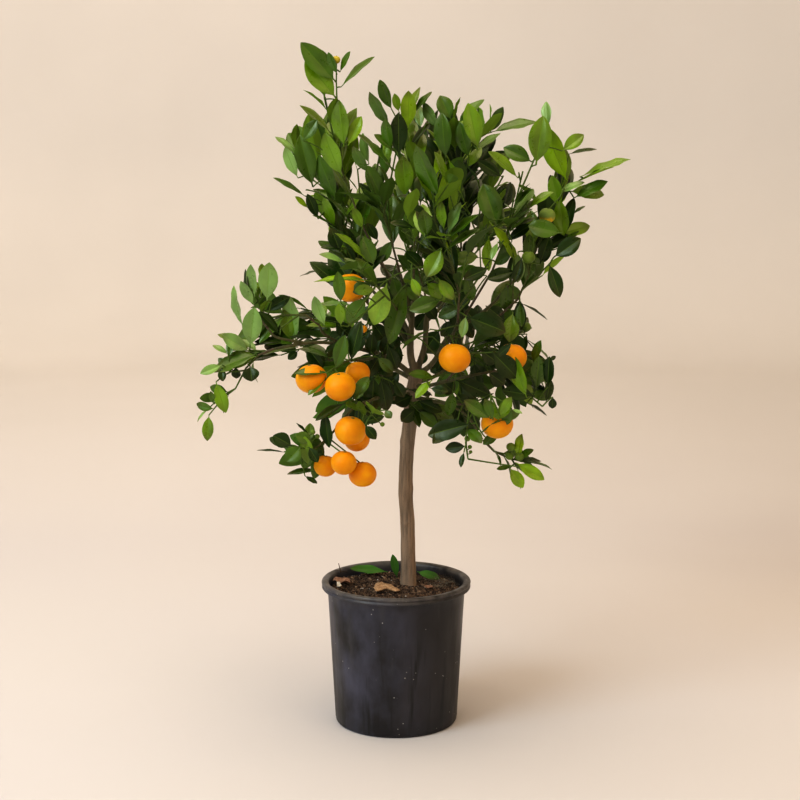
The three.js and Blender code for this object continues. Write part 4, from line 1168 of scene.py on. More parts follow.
def life_size(leaf):
    """Leaves that are larger than life in the solids are brought back towards their real size."""
    if leaf["length"] > FINE["longest"]:
        beyond = FINE["beyond"] * (leaf["length"] - FINE["longest"])
        scale = (FINE["longest"] + beyond) / leaf["length"]
        leaf["length"] *= scale
        leaf["width"] *= scale
    leaf["width"] *= FINE["slim"]
    leaf["direction"] = unit(leaf["direction"] + UP * FINE["rise"])
    leaf["normal"] = turned_to(leaf["direction"], leaf["normal"])
    leaf["across"] = cross(leaf["direction"], leaf["normal"])


def grow_finer(crown, mass, grown):
    """Side twigs on every shoot, then leaves on them and between the first leaves."""
    rims = np.concatenate([leaf["rim"] for leaf in grown.leaves])
    ends = np.array([twig.knots[-1] for twig in grown.twigs])
    normals, distances = hull_walls(np.concatenate((rims, ends)))

    def within(points):
        return bool((np.asarray(points) @ normals.T <= distances + FINE["margin"]).all())

    small = {**mass, "shoot": mass["shoot"] * FINE["twig"], "open": FINE["twig_open"]}
    small["leaf"] = FINE["leaf"] * min(mass["leaf"], USUAL["leaf"])
    grown.leaf_gap = FINE["gap"]
    rows = list(range(len(grown.twigs)))
    for row, twig in enumerate(list(grown.twigs)):
        count = int(twig.length / FINE["twig_apart"])
        for k in range(count):
            draw = seeded(7000 * mass["seed"] + 60 * row + k)
            share = between(0.12, 0.94, (k + draw()) / count)
            for attempt in range(FINE["tries"]):
                turn = row + k * GOLDEN_TURN + 1.7 * attempt
                shoot = grow_shoot(small, twig, share, turn, 1 - 0.14 * attempt, draw)
                if within([shoot.knots[-1]]) and crown.shoot_fits(shoot, mass):
                    shoot.radius, shoot.tip_radius = FINE["radius"], FINE["tip_radius"]
                    grown.twigs.append(shoot)
                    rows.append(row)
                    break
    for order, (row, twig) in enumerate(zip(rows, list(grown.twigs))):
        count = max(2, int(0.85 * twig.length / FINE["leaf_apart"] + 0.5))
        for k in range(count):
            draw = seeded(90000 * mass["seed"] + 100 * order + k)
            last = k == count - 1 and order >= len(set(rows))
            share = 1 - LEAF["sunk"] / twig.length if last else between(0.12, 0.95, (k + 0.5) / count)
            for attempt in range(FINE["tries"]):
                turn = (2 * (k + order + attempt) + 1) * math.pi / 3 + draw()
                spread = 14 if last else FINE["leaf_open"]
                leaf = grow_leaf(small, twig, share, turn, spread, 1 - 0.07 * attempt, draw)
                leaf["spray"] = order
                if not within(leaf_points(leaf, ((0.6, 0), (1, 0), (0.5, 1), (0.5, -1)))):
                    continue
                if crown.front.blocked_by(leaf, 0):
                    continue
                if crown.leaf_fits(leaf, mass, grown):
                    break


def grow_stalk(twigs, at, diameter):
    """A fruit hangs by a stalk from the nearest point of its mass's own twigs."""
    top = at + UP * ((diameter / 2) * FRUIT["oblate"] - FRUIT["sunk"])
    nearest, parent = nearest_on(twigs, top)
    radius = min(FRUIT["stalk_radius"], 0.5 + 0.03 * diameter)
    return Twig([nearest, top], radius, radius, parent)


# Each tint's colour and sheen, the shares that tints have in a deal, and the deal of each mass.
# A mass that PALETTES doesn't name has the middle one.
TINTS = {
    # Painted light: the pale tint brightens a leaf that stands in the crown's shade, so that it looks lit.
    "pale": (0.370, 0.600, 0.070),
    "lime": (0.236, 0.385, 0.005),
    "bright": (0.126, 0.230, 0.002),
    "mid": (0.047, 0.112, 0.0015),
    # Partly painted shade: the deep tint is dark old leaves, kept darker than they are so that it also
    # carries the shade inside the crown.
    "deep": (0.0095, 0.033, 0.0012),
    # Painted sheen: the grey tint is a paler, bluer green that stands in for the key light's sheen on the
    # leaves; the arm's masses take it most.
    "grey": (0.185, 0.315, 0.076),
}
SHEEN = dict(pale=0.5, lime=0.6, bright=0.75, mid=0.7, deep=0.42, grey=0.85)
SPRAYS = {
    "top": dict(lime=1, bright=5, mid=6, deep=3),
    "middle": dict(lime=1, bright=3, mid=6, deep=6),
    "low": dict(bright=1, mid=4, deep=8),
    "arm": dict(bright=2, mid=3, grey=5),
}
PALETTES = {
    "top": (
        "leader", "left_top", "front_top", "middle_top", "right_top", "top_right_inner", "top_right",
        "right_outer", "back_top_left", "back_top_right",
    ),
    "arm": ("arm_inner", "arm_outer", "arm_tip"),
    "low": (
        "left_hanging", "fork_leaves", "right_inner", "right_sprig", "back_low_left",
        "back_low_right", "left_back", "right_fruit",
    ),
}


def tint_of(leaf, mass):
    if "tint" in leaf:
        return leaf["tint"]
    palette = next((name for name, masses in PALETTES.items() if mass["name"] in masses), "middle")
    deal = seeded(500 * mass["seed"] + leaf["spray"])
    names = [name for name, weight in SPRAYS[palette].items() for _ in range(weight)]
    return names[int(deal() * len(names))]


_tree = {}


def tree_plan():
    """The whole crown, grown once and kept: its limbs, twigs, leaves by tint, and fruit stalks."""
    if _tree:
        return _tree
    crown = Canopy()
    twigs, stalks = [], []
    leaves = {tint: [] for tint in TINTS}
    grown_by_mass = {name: grow_mass(crown, mass) for name, mass in crown.masses.items()}
    placed, stems = marked(grown_by_mass)
    open_fruit = [fruit[:4] for name in OPEN_FRUIT for fruit in crown.masses[name]["fruits"]]
    crown.front = Front([leaf for group in placed.values() for leaf in group], open_fruit)
    for name, mass in crown.masses.items():
        grown = place_leaves(
            grown_by_mass[name], placed.get(name, []), stems.get(name, ()), crown.front
        )
        hung = [(np.array(fruit[:3], float), fruit[3]) for fruit in mass.get("fruits", [])]
        own = [grow_stalk(grown.twigs, at, diameter) for at, diameter in hung]
        grow_finer(crown, mass, grown)
        grown.twigs = without_bare(grown, own)
        twigs += grown.twigs
        stalks += own
        for number, leaf in enumerate(grown.leaves):
            if "tint" not in leaf:
                life_size(leaf)
            leaf["draw"] = seeded(mass["seed"] * 977 + number)
            leaves[tint_of(leaf, mass)].append(leaf)
    for x, y, z, diameter, _ in SMALL_FRUIT:
        stalks.append(grow_stalk(twigs, np.array((x, y, z), float), diameter))
    _tree.update(crown=crown, twigs=twigs, stalks=stalks, leaves=leaves)
    return _tree


# ---------------------------------------------------------------- meshes


def new_object(name, mesh):
    obj = bpy.data.objects.new(name, mesh)
    bpy.context.scene.collection.objects.link(obj)
    return obj


def dressed(obj, slot, *nodes):
    """A finished piece rides with the tree and stands for its solids, which it hides. Its slot is not used.
    """
    obj.data.name = obj.name
    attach(obj, "root")
    if nodes:
        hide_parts(*nodes)
    return obj


def new_mesh(name, places, faces):
    """A smooth mesh of places in metres."""
    mesh = bpy.data.meshes.new(name)
    mesh.from_pydata(places, [], faces)
    smooth(mesh)
    return mesh


def smooth(mesh):
    mesh.polygons.foreach_set("use_smooth", np.ones(len(mesh.polygons), bool))
    mesh.update()


def piece(name, mesh, slot, finishes, *nodes):
    """A mesh with its finishes becomes a piece of the tree."""
    for finish in finishes:
        mesh.materials.append(finish)
    return dressed(new_object(name, mesh), slot, *nodes)


def settled(obj):
    """Makes what an object's modifiers give its own mesh."""
    bpy.context.view_layer.update()
    result = obj.evaluated_get(bpy.context.evaluated_depsgraph_get())
    before, mesh = obj.data, bpy.data.meshes.new_from_object(result)
    obj.modifiers.clear()
    obj.data = mesh
    bpy.data.meshes.remove(before)
    return obj


def baked(obj, tree, values):
    """Runs a node tree on an object and keeps what it makes as the object's own mesh."""
    modifier = obj.modifiers.new(tree.name, "NODES")
    modifier.node_group = tree
    for item in tree.interface.items_tree:
        if item.item_type == "SOCKET" and item.in_out == "INPUT" and item.name in values:
            modifier[item.identifier] = values[item.name]
    return settled(obj)


def add_node(tree, kind, inputs=None, output=0, **settings):
    """A node with its settings made and its inputs set or linked. Gives one of its outputs."""
    node = tree.nodes.new(kind)
    for name, value in settings.items():
        setattr(node, name, value)
    for key, value in (inputs or {}).items():
        if isinstance(value, bpy.types.NodeSocket):
            tree.links.new(value, node.inputs[key])
        else:
            node.inputs[key].default_value = value
    return node.outputs[output]


def node_tree(name, **inputs):
    """A geometry node tree with a geometry in and out, and the outputs of its group input."""
    tree = bpy.data.node_groups.new(name, "GeometryNodeTree")
    for way in ("INPUT", "OUTPUT"):
        tree.interface.new_socket("Geometry", in_out=way, socket_type="NodeSocketGeometry")
    for label, default in inputs.items():
        kind = "NodeSocketInt" if isinstance(default, int) else "NodeSocketFloat"
        tree.interface.new_socket(label, in_out="INPUT", socket_type=kind).default_value = default
    return tree, tree.nodes.new("NodeGroupInput").outputs


def finish_tree(tree, geometry, material):
    """Ends a tree: makes instances real, sets the material and gives the geometry out."""
    geometry = add_node(tree, "GeometryNodeRealizeInstances", {"Geometry": geometry})
    geometry = add_node(tree, "GeometryNodeSetMaterial", {"Geometry": geometry, "Material": material})
    tree.links.new(geometry, tree.nodes.new("NodeGroupOutput").inputs["Geometry"])
    return tree


def tubes_tree(material):
    """Round tubes along a mesh's lines, each as thick as its point's girth."""
    tree, given = node_tree("Tubes", Sides=7, Thickness=1.0)
    curve = add_node(tree, "GeometryNodeMeshToCurve", {"Mesh": given["Geometry"]})
    girth = add_node(tree, "GeometryNodeInputNamedAttribute", {"Name": "girth"}, data_type="FLOAT")
    girth = add_node(tree, "ShaderNodeMath", {0: girth, 1: given["Thickness"]}, operation="MULTIPLY")
    ring = {"Resolution": given["Sides"], "Radius": 1.0}
    ring = add_node(tree, "GeometryNodeCurvePrimitiveCircle", ring)
    sweep = {"Curve": curve, "Profile Curve": ring, "Scale": girth, "Fill Caps": True}
    tubes = add_node(tree, "GeometryNodeCurveToMesh", sweep)
    tubes = add_node(tree, "GeometryNodeSetShadeSmooth", {"Geometry": tubes})
    return finish_tree(tree, tubes, material)


def lines_object(name, lines):
    """A mesh of open lines. Each line is a list of (place, radius) in millimetres."""
    places, girths, edges = [], [], []
    for line in lines:
        first = len(places)
        places += [tuple(np.asarray(at) * MM) for at, _ in line]
        girths += [radius * MM for _, radius in line]
        edges += [(first + k, first + k + 1) for k in range(len(line) - 1)]
    mesh = bpy.data.meshes.new(name)
    mesh.from_pydata(places, edges, [])
    girth = mesh.attributes.new("girth", "FLOAT", "POINT")
    girth.data.foreach_set("value", girths)
    return new_object(name, mesh)


# A leaf's stations along its length: the share, and how wide it is there (share of half width).
def blade_width(share):
    if share <= 0.085:
        return 0.075
    u = (share - 0.085) / 0.915
    return max(0.075 * (1 - u), (4 * u * (1 - u)) ** 0.84 * (1 + 0.14 * (u - 0.5)), 0.012)


LEAF_ROWS = (0, 0.045, 0.085, 0.13, 0.2, 0.3, 0.41, 0.53, 0.65, 0.76, 0.86, 0.94, 0.985, 1)
LEAF_COLUMNS = (-1, -0.7, -0.38, -0.045, 0.045, 0.38, 0.7, 1)
LEAF_THICK = 0.45  # mm


def leaf_faces():
    """The faces of one leaf by their corners, with each one's finish: 0 blade, 1 rib, 2 under."""
    rows, columns = len(LEAF_ROWS), len(LEAF_COLUMNS)
    under = rows * columns

    def top(i, j):
        return i * columns + j

    def below(i, j):
        return top(i, j) if j in (0, columns - 1) else under + i * (columns - 2) + j - 1

    faces, finish = [], []
    for i in range(rows - 1):
        for j in range(columns - 1):
            faces.append((top(i, j), top(i, j + 1), top(i + 1, j + 1), top(i + 1, j)))
            faces.append((below(i, j), below(i + 1, j), below(i + 1, j + 1), below(i, j + 1)))
            finish += [1 if j == (columns - 2) // 2 else 0, 2]
    for j in range(columns - 1):
        for i, near, far in ((0, j + 1, j), (rows - 1, j, j + 1)):
            corners = (top(i, near), top(i, far), below(i, far), below(i, near))
            faces.append(tuple(dict.fromkeys(corners)))
            finish.append(2)
    return faces, finish


def leaves_mesh(name, leaves, folded, waved):
    """All the leaves of one tint as closed thin shells in one mesh."""
    half = np.array([blade_width(share) for share in LEAF_ROWS])
    s, a = (grid.ravel() for grid in np.meshgrid(LEAF_ROWS, LEAF_COLUMNS, indexing="ij"))
    inner = np.abs(a) < 1
    s, a, h = (
        np.concatenate((values, values[inner])) for values in (s, a, np.repeat(half, len(LEAF_COLUMNS)))
    )
    sunk = np.concatenate((np.zeros(len(inner)), np.full(int(inner.sum()), LEAF_THICK)))
    draws = np.array([[leaf["draw"]() for _ in range(6)] for leaf in leaves])
    length, width, curl, root, direction, across, normal = (
        np.array([leaf[key] for leaf in leaves])[:, None]
        for key in ("length", "width", "curl", "root", "direction", "across", "normal")
    )
    fold = folded * (0.5 + draws[:, :1])
    wave = waved * (0.4 + draws[:, 1:2])
    phase = 6.3 * draws[:, 2:3]
    sway = 0.08 * (draws[:, 3:4] - 0.5)
    lift = (
        -curl * 1.15 * length * s**2
        + fold * (width / 2) * h * (1.5 * np.abs(a) - 0.95 * a**2)
        + wave * length * h * (a**2) * np.sin(phase + 15 * s + 2.1 * np.sign(a))
        - sunk * (1 - 0.6 * s)
    )
    aside = (width / 2) * h * a + sway * length * s**2
    along = length * (s - 0.05 * curl * s**2)
    points = root + direction * along[..., None] + across * aside[..., None] + normal * lift[..., None]
    faces, finish = leaf_faces()
    count, per_leaf = len(leaves), len(s)
    faces = [tuple(c + leaf * per_leaf for c in face) for leaf in range(count) for face in faces]
    mesh = new_mesh(name, (points.reshape(-1, 3) * MM).tolist(), faces)
    mesh.polygons.foreach_set("material_index", np.tile(np.array(finish, np.int32), count))
    loops = np.empty(len(mesh.loops), np.int32)
    mesh.loops.foreach_get("vertex_index", loops)
    flat = np.stack((s, 0.5 + 0.5 * a), axis=1)[loops % per_leaf]
    mesh.uv_layers.new(name="blade").data.foreach_set("uv", flat.ravel().astype(np.float32))
    ends = np.empty(2 * len(mesh.edges), np.int32)
    mesh.edges.foreach_get("vertices", ends)
    ends = ends.reshape(-1, 2) % per_leaf
    on_rim = np.concatenate((~inner, np.zeros(int(inner.sum()), bool)))[ends].all(axis=1)
    rim_edge = on_rim & (s[ends[:, 0]] != s[ends[:, 1]])
    mesh.attributes.new("sharp_edge", "BOOLEAN", "EDGE").data.foreach_set("value", rim_edge)
    return mesh


def ring_faces(rings):
    """The faces that join rings of corners from the top down. A ring may be a single corner."""
    faces = []
    for upper, lower in zip(rings, rings[1:]):
        for k in range(max(len(upper), len(lower))):
            a, b = (ring[k % len(ring)] for ring in (upper, lower))
            c, d = (ring[(k + 1) % len(ring)] for ring in (lower, upper))
            faces.append(tuple(dict.fromkeys((a, b, c, d))))
    return faces


def ring_rows(sizes):
    """Corner numbers, counted on through rings of the given sizes."""
    starts = np.cumsum([0, *sizes]).tolist()
    return [range(start, start + size) for start, size in zip(starts, sizes)]


def ring_at(radius, height, sides):
    """A round ring of places about the upright, or one place where it has no radius."""
    if radius < 1e-9:
        return [(0, 0, height)]
    turns = [2 * math.pi * k / sides for k in range(sides)]
    return [(radius * math.cos(t), radius * math.sin(t), height) for t in turns]


def lathe_mesh(name, profile, sides):
    """A turned shape from (radius, height) points in metres, from the foot's middle to the top's."""
    rings = [ring_at(r, z, sides) for r, z in profile]
    rows = ring_rows([len(ring) for ring in rings])
    faces = [face for low, high in zip(rows, rows[1:]) for face in ring_faces([high, low])]
    return new_mesh(name, sum(rings, []), faces)


# ---------------------------------------------------------------- finishes


class Finish:
    """A material's nodes, added one after another."""

    def __init__(self, name, roughness=0.5, **sockets):
        self.material = bpy.data.materials.new(name)
        self.material.use_nodes = True
        self.tree = self.material.node_tree
        self.shader = self.tree.nodes["Principled BSDF"]
        for socket, value in dict(sockets, Roughness=roughness).items():
            self.shader.inputs[socket.replace("_", " ")].default_value = value
        self.place = self.add("ShaderNodeTexCoord", output="Object")

    def add(self, kind, inputs=None, output=0, **settings):
        return add_node(self.tree, kind, inputs, output, **settings)

    def along(self, axis):
        """One coordinate of the object's own frame, in metres."""
        return self.add("ShaderNodeSeparateXYZ", {"Vector": self.place}, axis)

    def down_blade(self):
        """The share of a leaf's length, from its foot."""
        place = self.add("ShaderNodeUVMap", uv_map="blade")
        return self.add("ShaderNodeSeparateXYZ", {"Vector": place}, "X")

    def girth(self):
        return self.add("ShaderNodeAttribute", output="Fac", attribute_name="girth")

    def noise(self, scale, detail, stretch=None):
        place = self.place
        if stretch:
            place = self.add("ShaderNodeMapping", {"Vector": place, "Scale": stretch})
        inputs = {"Vector": place, "Scale": scale, "Detail": detail, "Roughness": 0.55}
        return self.add("ShaderNodeTexNoise", inputs)

    def cells(self, scale):
        return self.add("ShaderNodeTexVoronoi", {"Vector": self.place, "Scale": scale})

    def fitted(self, value, low, high, to_low=0.0, to_high=1.0):
        ends = {"From Min": low, "From Max": high, "To Min": to_low, "To Max": to_high}
        return self.add("ShaderNodeMapRange", {"Value": value, **ends})

    def patches(self, scale, detail, low, high, *to, stretch=None):
        """Noise that is one value below a level and another above a second level."""
        return self.fitted(self.noise(scale, detail, stretch), low, high, *to)

    def worked(self, kind, one, two):
        return self.add("ShaderNodeMath", {0: one, 1: two}, operation=kind)

    def mixed(self, share, *ends):
        one, two = ((*end, 1) if isinstance(end, tuple) else end for end in ends)
        return self.add("ShaderNodeMix", {"Factor": share, 6: one, 7: two}, 2, data_type="RGBA")

    def over(self, base, colour, *shares):
        """A colour laid over a base by the product of some shares."""
        share = shares[0]
        for factor in shares[1:]:
            share = self.worked("MULTIPLY", share, factor)
        return self.mixed(share, base, colour)

    def colour(self, value):
        self.tree.links.new(value, self.shader.inputs["Base Color"])

    def rough(self, value):
        self.tree.links.new(value, self.shader.inputs["Roughness"])

    def bump(self, height, strength, distance):
        inputs = {"Height": height, "Strength": strength, "Distance": distance}
        before = self.shader.inputs["Normal"].links
        if before:
            inputs["Normal"] = before[0].from_socket
        self.tree.links.new(self.add("ShaderNodeBump", inputs), self.shader.inputs["Normal"])


def shade(colour, factor):
    return tuple(min(1.0, channel * factor) for channel in colour)


def leaf_blade(name, colour, gloss, sheen):
    """A glossy upper side, darker and browner towards the tip, darker towards its foot as painted shade, and
    never quite even.
    """
    finish = Finish(name, roughness=gloss, Specular_IOR_Level=sheen, Specular_Tint=(1, 1, 0.72, 1))
    base = finish.mixed(finish.patches(24, 2, 0.36, 0.64), shade(colour, 0.66), shade(colour, 1.28))
    base = finish.over(base, shade(colour, 1.5), finish.patches(260, 3, 0.3, 0.7), 0.2)
    length = finish.down_blade()
    tip = finish.fitted(length, 0.62, 1.0)
    base = finish.over(base, (0.050, 0.040, 0.006), tip, finish.patches(12, 2, 0.46, 0.6), 0.8)
    # Painted shade: the blade darkens towards its foot, where it meets its twig.
    foot = finish.fitted(length, 0.05, 0.3, 0.4, 0.0)
    finish.colour(finish.over(base, shade(colour, 0.45), foot))
    finish.rough(finish.patches(120, 2, 0.3, 0.7, gloss - 0.06, gloss + 0.1))
    finish.bump(finish.noise(420, 3), 0.12, 0.0006)
    return finish.material


def leaf_rib(name, colour):
    finish = Finish(name, roughness=0.5, Specular_IOR_Level=0.2)
    pale = tuple(0.72 * c + 0.28 * p for c, p in zip(colour, (0.26, 0.38, 0.06)))
    finish.colour(finish.mixed(finish.noise(90, 2), shade(pale, 0.85), shade(pale, 1.1)))
    return finish.material


def leaf_under(name, colour):
    finish = Finish(name, roughness=0.66, Specular_IOR_Level=0.2)
    pale = tuple(0.72 * c + 0.28 * p for c, p in zip(shade(colour, 1.25), (0.16, 0.24, 0.06)))
    finish.colour(finish.mixed(finish.noise(60, 3), shade(pale, 0.85), shade(pale, 1.12)))
    finish.bump(finish.noise(500, 2), 0.1, 0.0005)
    return finish.material


def leaf_finishes(name, colour, gloss, sheen):
    """The finishes of a leaf's upper side, rib and underside. Their name has a gap for the part."""
    return (
        leaf_blade(name.format(""), colour, gloss, sheen),
        leaf_rib(name.format("_rib"), colour),
        leaf_under(name.format("_under"), colour),
    )


def bark_finish():
    """Grey-brown bark in fine upright streaks, greener and smoother where the wood is thin."""
    finish = Finish("Bark", roughness=0.82)
    streaks = finish.patches(260, 4, 0.3, 0.72, stretch=(1, 1, 0.09))
    patches = finish.patches(38, 3, 0.35, 0.68, stretch=(1, 1, 0.4))
    foot = finish.fitted(finish.along("Z"), 0.17, 0.36, 0.75, 0.0)
    old = finish.mixed(streaks, (0.108, 0.079, 0.051), (0.335, 0.252, 0.172))
    old = finish.over(old, (0.350, 0.290, 0.220), patches, 0.45)
    old = finish.over(old, (0.05, 0.035, 0.025), finish.patches(700, 2, 0.6, 0.72), 0.5)
    old = finish.over(old, (0.410, 0.275, 0.185), foot, streaks)
    young = finish.mixed(streaks, (0.052, 0.056, 0.018), (0.120, 0.118, 0.044))
    finish.colour(finish.mixed(finish.fitted(finish.girth(), 0.0026, 0.0060), young, old))
    finish.rough(finish.fitted(streaks, 0, 1, 0.72, 0.92))
    finish.bump(finish.noise(330, 5, (1, 1, 0.14)), 0.55, 0.0012)
    finish.bump(finish.noise(1100, 2), 0.25, 0.0004)
    return finish.material


def twig_finish():
    """Green where a twig is thin, and grey-brown where it is thicker."""
    finish = Finish("Twig", roughness=0.62, Specular_IOR_Level=0.3)
    fine = finish.patches(420, 3, 0.3, 0.7)
    green = finish.mixed(fine, (0.050, 0.095, 0.008), (0.100, 0.165, 0.018))
    brown = finish.mixed(fine, (0.070, 0.050, 0.028), (0.135, 0.105, 0.060))
    age = finish.worked("ADD", finish.girth(), finish.patches(24, 2, 0, 1, -0.0003, 0.0003))
    finish.colour(finish.mixed(finish.fitted(age, 0.0011, 0.0016), green, brown))
    finish.bump(finish.noise(800, 2), 0.3, 0.0004)
    return finish.material


def peel_finish(name, deep, pale):
    """Fine-pored peel, a little paler in patches."""
    gloss = 0.42
    finish = Finish(name, roughness=gloss, Specular_IOR_Level=0.22)
    pores = finish.cells(720)
    base = finish.mixed(finish.patches(55, 2, 0.35, 0.68), deep, pale)
    finish.colour(finish.over(base, shade(deep, 0.78), finish.fitted(pores, 0.0, 0.28, 0.35, 0.0)))
    finish.rough(finish.patches(300, 2, 0.3, 0.7, gloss - 0.05, gloss + 0.08))
    finish.bump(finish.fitted(pores, 0.0, 0.45), 0.35, 0.0005)
    return finish.material


def turning_finish():
    """Green peel that turns yellow from below, and all over on the topmost bud."""
    finish = Finish("Turning_Peel", roughness=0.45, Specular_IOR_Level=0.22)
    height = finish.along("Z")
    low = finish.fitted(height, 0.6475, 0.6430)
    spot = finish.worked("MULTIPLY", low, finish.patches(60, 2, 0.3, 0.5))
    spot = finish.worked("MAXIMUM", spot, finish.fitted(height, 0.80, 0.81, 0.0, 0.55))
    green = finish.mixed(finish.noise(80, 2), (0.16, 0.25, 0.05), (0.26, 0.36, 0.09))
    finish.colour(finish.over(green, (0.76, 0.50, 0.02), spot))
    finish.bump(finish.cells(720), 0.3, 0.0004)
    return finish.material


def calyx_finish():
    finish = Finish("Calyx", roughness=0.6)
    finish.colour(finish.mixed(finish.noise(500, 2), (0.07, 0.11, 0.02), (0.15, 0.19, 0.05)))
    finish.bump(finish.noise(900, 2), 0.3, 0.0004)
    return finish.material


def pot_finish():
    """Satin black plastic: a bluish haze of weathering, laid on most strongly on the left as a painted sheen
    of the key light, rubbed streaks down the wall, a lip paler with dust and a painted highlight, and dust in
    fine specks.
    """
    finish = Finish("Pot_Plastic", roughness=0.45, Specular_IOR_Level=0.5)
    haze = finish.patches(17, 5, 0.38, 0.7, stretch=(1, 1, 0.6))
    smears = finish.patches(60, 4, 0.55, 0.75, stretch=(1, 1, 0.12))
    warm = finish.patches(10, 2, 0.5, 0.72, stretch=(1, 1, 0.4))
    runs = finish.patches(62, 3, 0.53, 0.62, stretch=(1, 1, 0.07))
    specks = finish.fitted(finish.cells(135), 0.07, 0.12, 1.0, 0.0)
    # Painted sheen: the bluish haze grows stronger towards the left, where the key light's sheen falls on the
    # plastic.
    key_sheen_left = finish.fitted(finish.along("X"), 0.075, -0.085)
    low = finish.fitted(finish.along("Z"), 0.155, 0.10)
    # Dust and painted highlight: the lip's top turns paler, partly dust and partly a painted highlight along
    # its rolled edge.
    lip = finish.fitted(finish.along("Z"), 0.1735, 0.1815, 0.0, 0.85)
    base = (0.0060, 0.0052, 0.0072)
    for colour, *shares in (
        ((0.100, 0.104, 0.156), haze, key_sheen_left),
        ((0.070, 0.068, 0.066), smears, 0.38),
        ((0.024, 0.017, 0.011), warm, 0.55),
        ((0.0016, 0.0016, 0.0016), runs, low, 0.9),
        ((0.125, 0.112, 0.100), lip, finish.patches(55, 3, 0.3, 0.6)),
        ((0.42, 0.41, 0.38), specks, finish.patches(40, 2, 0.53, 0.59), 0.9),
    ):
        base = finish.over(base, colour, *shares)
    finish.colour(base)
    finish.rough(finish.patches(40, 4, 0.35, 0.7, 0.34, 0.58, stretch=(1, 1, 0.22)))
    finish.bump(finish.noise(30, 3, (1, 1, 0.5)), 0.15, 0.004)
    finish.bump(finish.noise(700, 3), 0.08, 0.0004)
    return finish.material


def soil_finish():
    finish = Finish("Compost", roughness=0.95)
    coarse = finish.patches(210, 5, 0.38, 0.66)
    base = finish.mixed(coarse, (0.010, 0.006, 0.004), (0.142, 0.088, 0.056))
    finish.colour(finish.over(base, (0.24, 0.155, 0.095), finish.patches(900, 3, 0.35, 0.68), 0.45))
    finish.bump(finish.noise(420, 6), 0.9, 0.0025)
    return finish.material


def speck_finish(name, dark, pale, roughness=0.9):
    finish = Finish(name, roughness=roughness)
    finish.colour(finish.mixed(finish.patches(330, 3, 0.3, 0.7), dark, pale))
    finish.bump(finish.noise(900, 3), 0.5, 0.0006)
    return finish.material


def stage_finish(name, floor, wall):
    """Plain pale paper, warmer towards the back than in front, with painted shade that darkens it a little
    beyond the pot and more towards the right.
    """
    finish = Finish(name, roughness=0.9)
    middle = finish.fitted(finish.along("Y"), 0.1, 0.8)
    back = finish.fitted(finish.along("Y"), 1.0, 3.4)
    # Painted shade: floor and wall darken towards the right, and the floor a little beyond the pot, standing
    # in for the lights' falloff.
    side = finish.fitted(finish.along("X"), -0.5, 0.9, 0.0, 0.9)
    shaded_right = tuple(c * s for c, s in zip(floor, (0.84, 0.82, 0.80)))
    base = finish.mixed(middle, floor, finish.mixed(side, shade(floor, 0.96), shaded_right))
    base = finish.mixed(back, base, finish.mixed(side, wall, shade(wall, 0.92)))
    finish.colour(finish.over(base, shade(wall, 0.84), finish.patches(1.6, 2, 0.3, 0.7, 0.0, 0.3)))
    return finish.material


# ---------------------------------------------------------------- sizes and colours to change


class CalamondinSizes(bpy.types.PropertyGroup):
    """Sizes of the dressed tree that a user may change."""

    leaf_fold: bpy.props.FloatProperty(
        name="Leaf fold", description="How far a leaf's sides rise from its rib, as a slope",
        default=0.34, min=0.0, max=1.0,
    )
    leaf_wave: bpy.props.FloatProperty(
        name="Leaf wave", description="How far a leaf's edge waves, as a share of its length",
        default=0.016, min=0.0, max=0.1,
    )
    twig_thickness: bpy.props.FloatProperty(
        name="Twig thickness", description="Thickness of every twig against the grown one",
        default=0.92, min=0.2, max=2.0,
    )
    bark_grain: bpy.props.FloatProperty(
        name="Bark grain", description="Size of the cells that the bark's mesh is made of",
        default=0.0011, min=0.0005, max=0.004, unit="LENGTH",
    )
    bark_relief: bpy.props.FloatProperty(
        name="Bark relief", description="Height of the ridges in the bark",
        default=0.00055, min=0.0, max=0.003, unit="LENGTH",
    )
    pot_height: bpy.props.FloatProperty(
        name="Pot height", description="Height of the pot from its foot to the top of its lip",
        default=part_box("pot")[1].z, min=0.05, max=0.6, unit="LENGTH",
    )
    pot_sides: bpy.props.IntProperty(
        name="Pot sides", description="Number of sides that the pot's round wall is made of",
        default=160, min=24, max=360,
    )
    crumbs: bpy.props.IntProperty(
        name="Crumbs", description="Crumbs of compost on each square metre of its surface",
        default=75000, min=0, max=200000,
    )


class CalamondinColours(bpy.types.PropertyGroup):
    """Colours of the dressed tree that a user may change."""

    peel: bpy.props.FloatVectorProperty(
        name="Peel", description="Colour of ripe peel", subtype="COLOR", size=3,
        default=(0.79, 0.290, 0.0005), min=0.0, max=1.0,
    )
    peel_pale: bpy.props.FloatVectorProperty(
        name="Pale peel", description="Colour of the peel's paler patches", subtype="COLOR", size=3,
        default=(0.85, 0.385, 0.001), min=0.0, max=1.0,
    )
    unripe: bpy.props.FloatVectorProperty(
        name="Unripe peel", description="Colour of green peel", subtype="COLOR", size=3,
        default=(0.110, 0.175, 0.022), min=0.0, max=1.0,
    )
    backdrop: bpy.props.FloatVectorProperty(
        name="Backdrop", description="Colour of the backdrop", subtype="COLOR", size=3,
        default=(0.745, 0.728, 0.715), min=0.0, max=1.0,
    )
    floor: bpy.props.FloatVectorProperty(
        name="Floor", description="Colour of the floor", subtype="COLOR", size=3,
        default=(0.620, 0.605, 0.620), min=0.0, max=1.0,
    )


def sizes():
    return bpy.context.scene.calamondin_sizes


def colours():
    return bpy.context.scene.calamondin_colours


# ---------------------------------------------------------------- the pieces


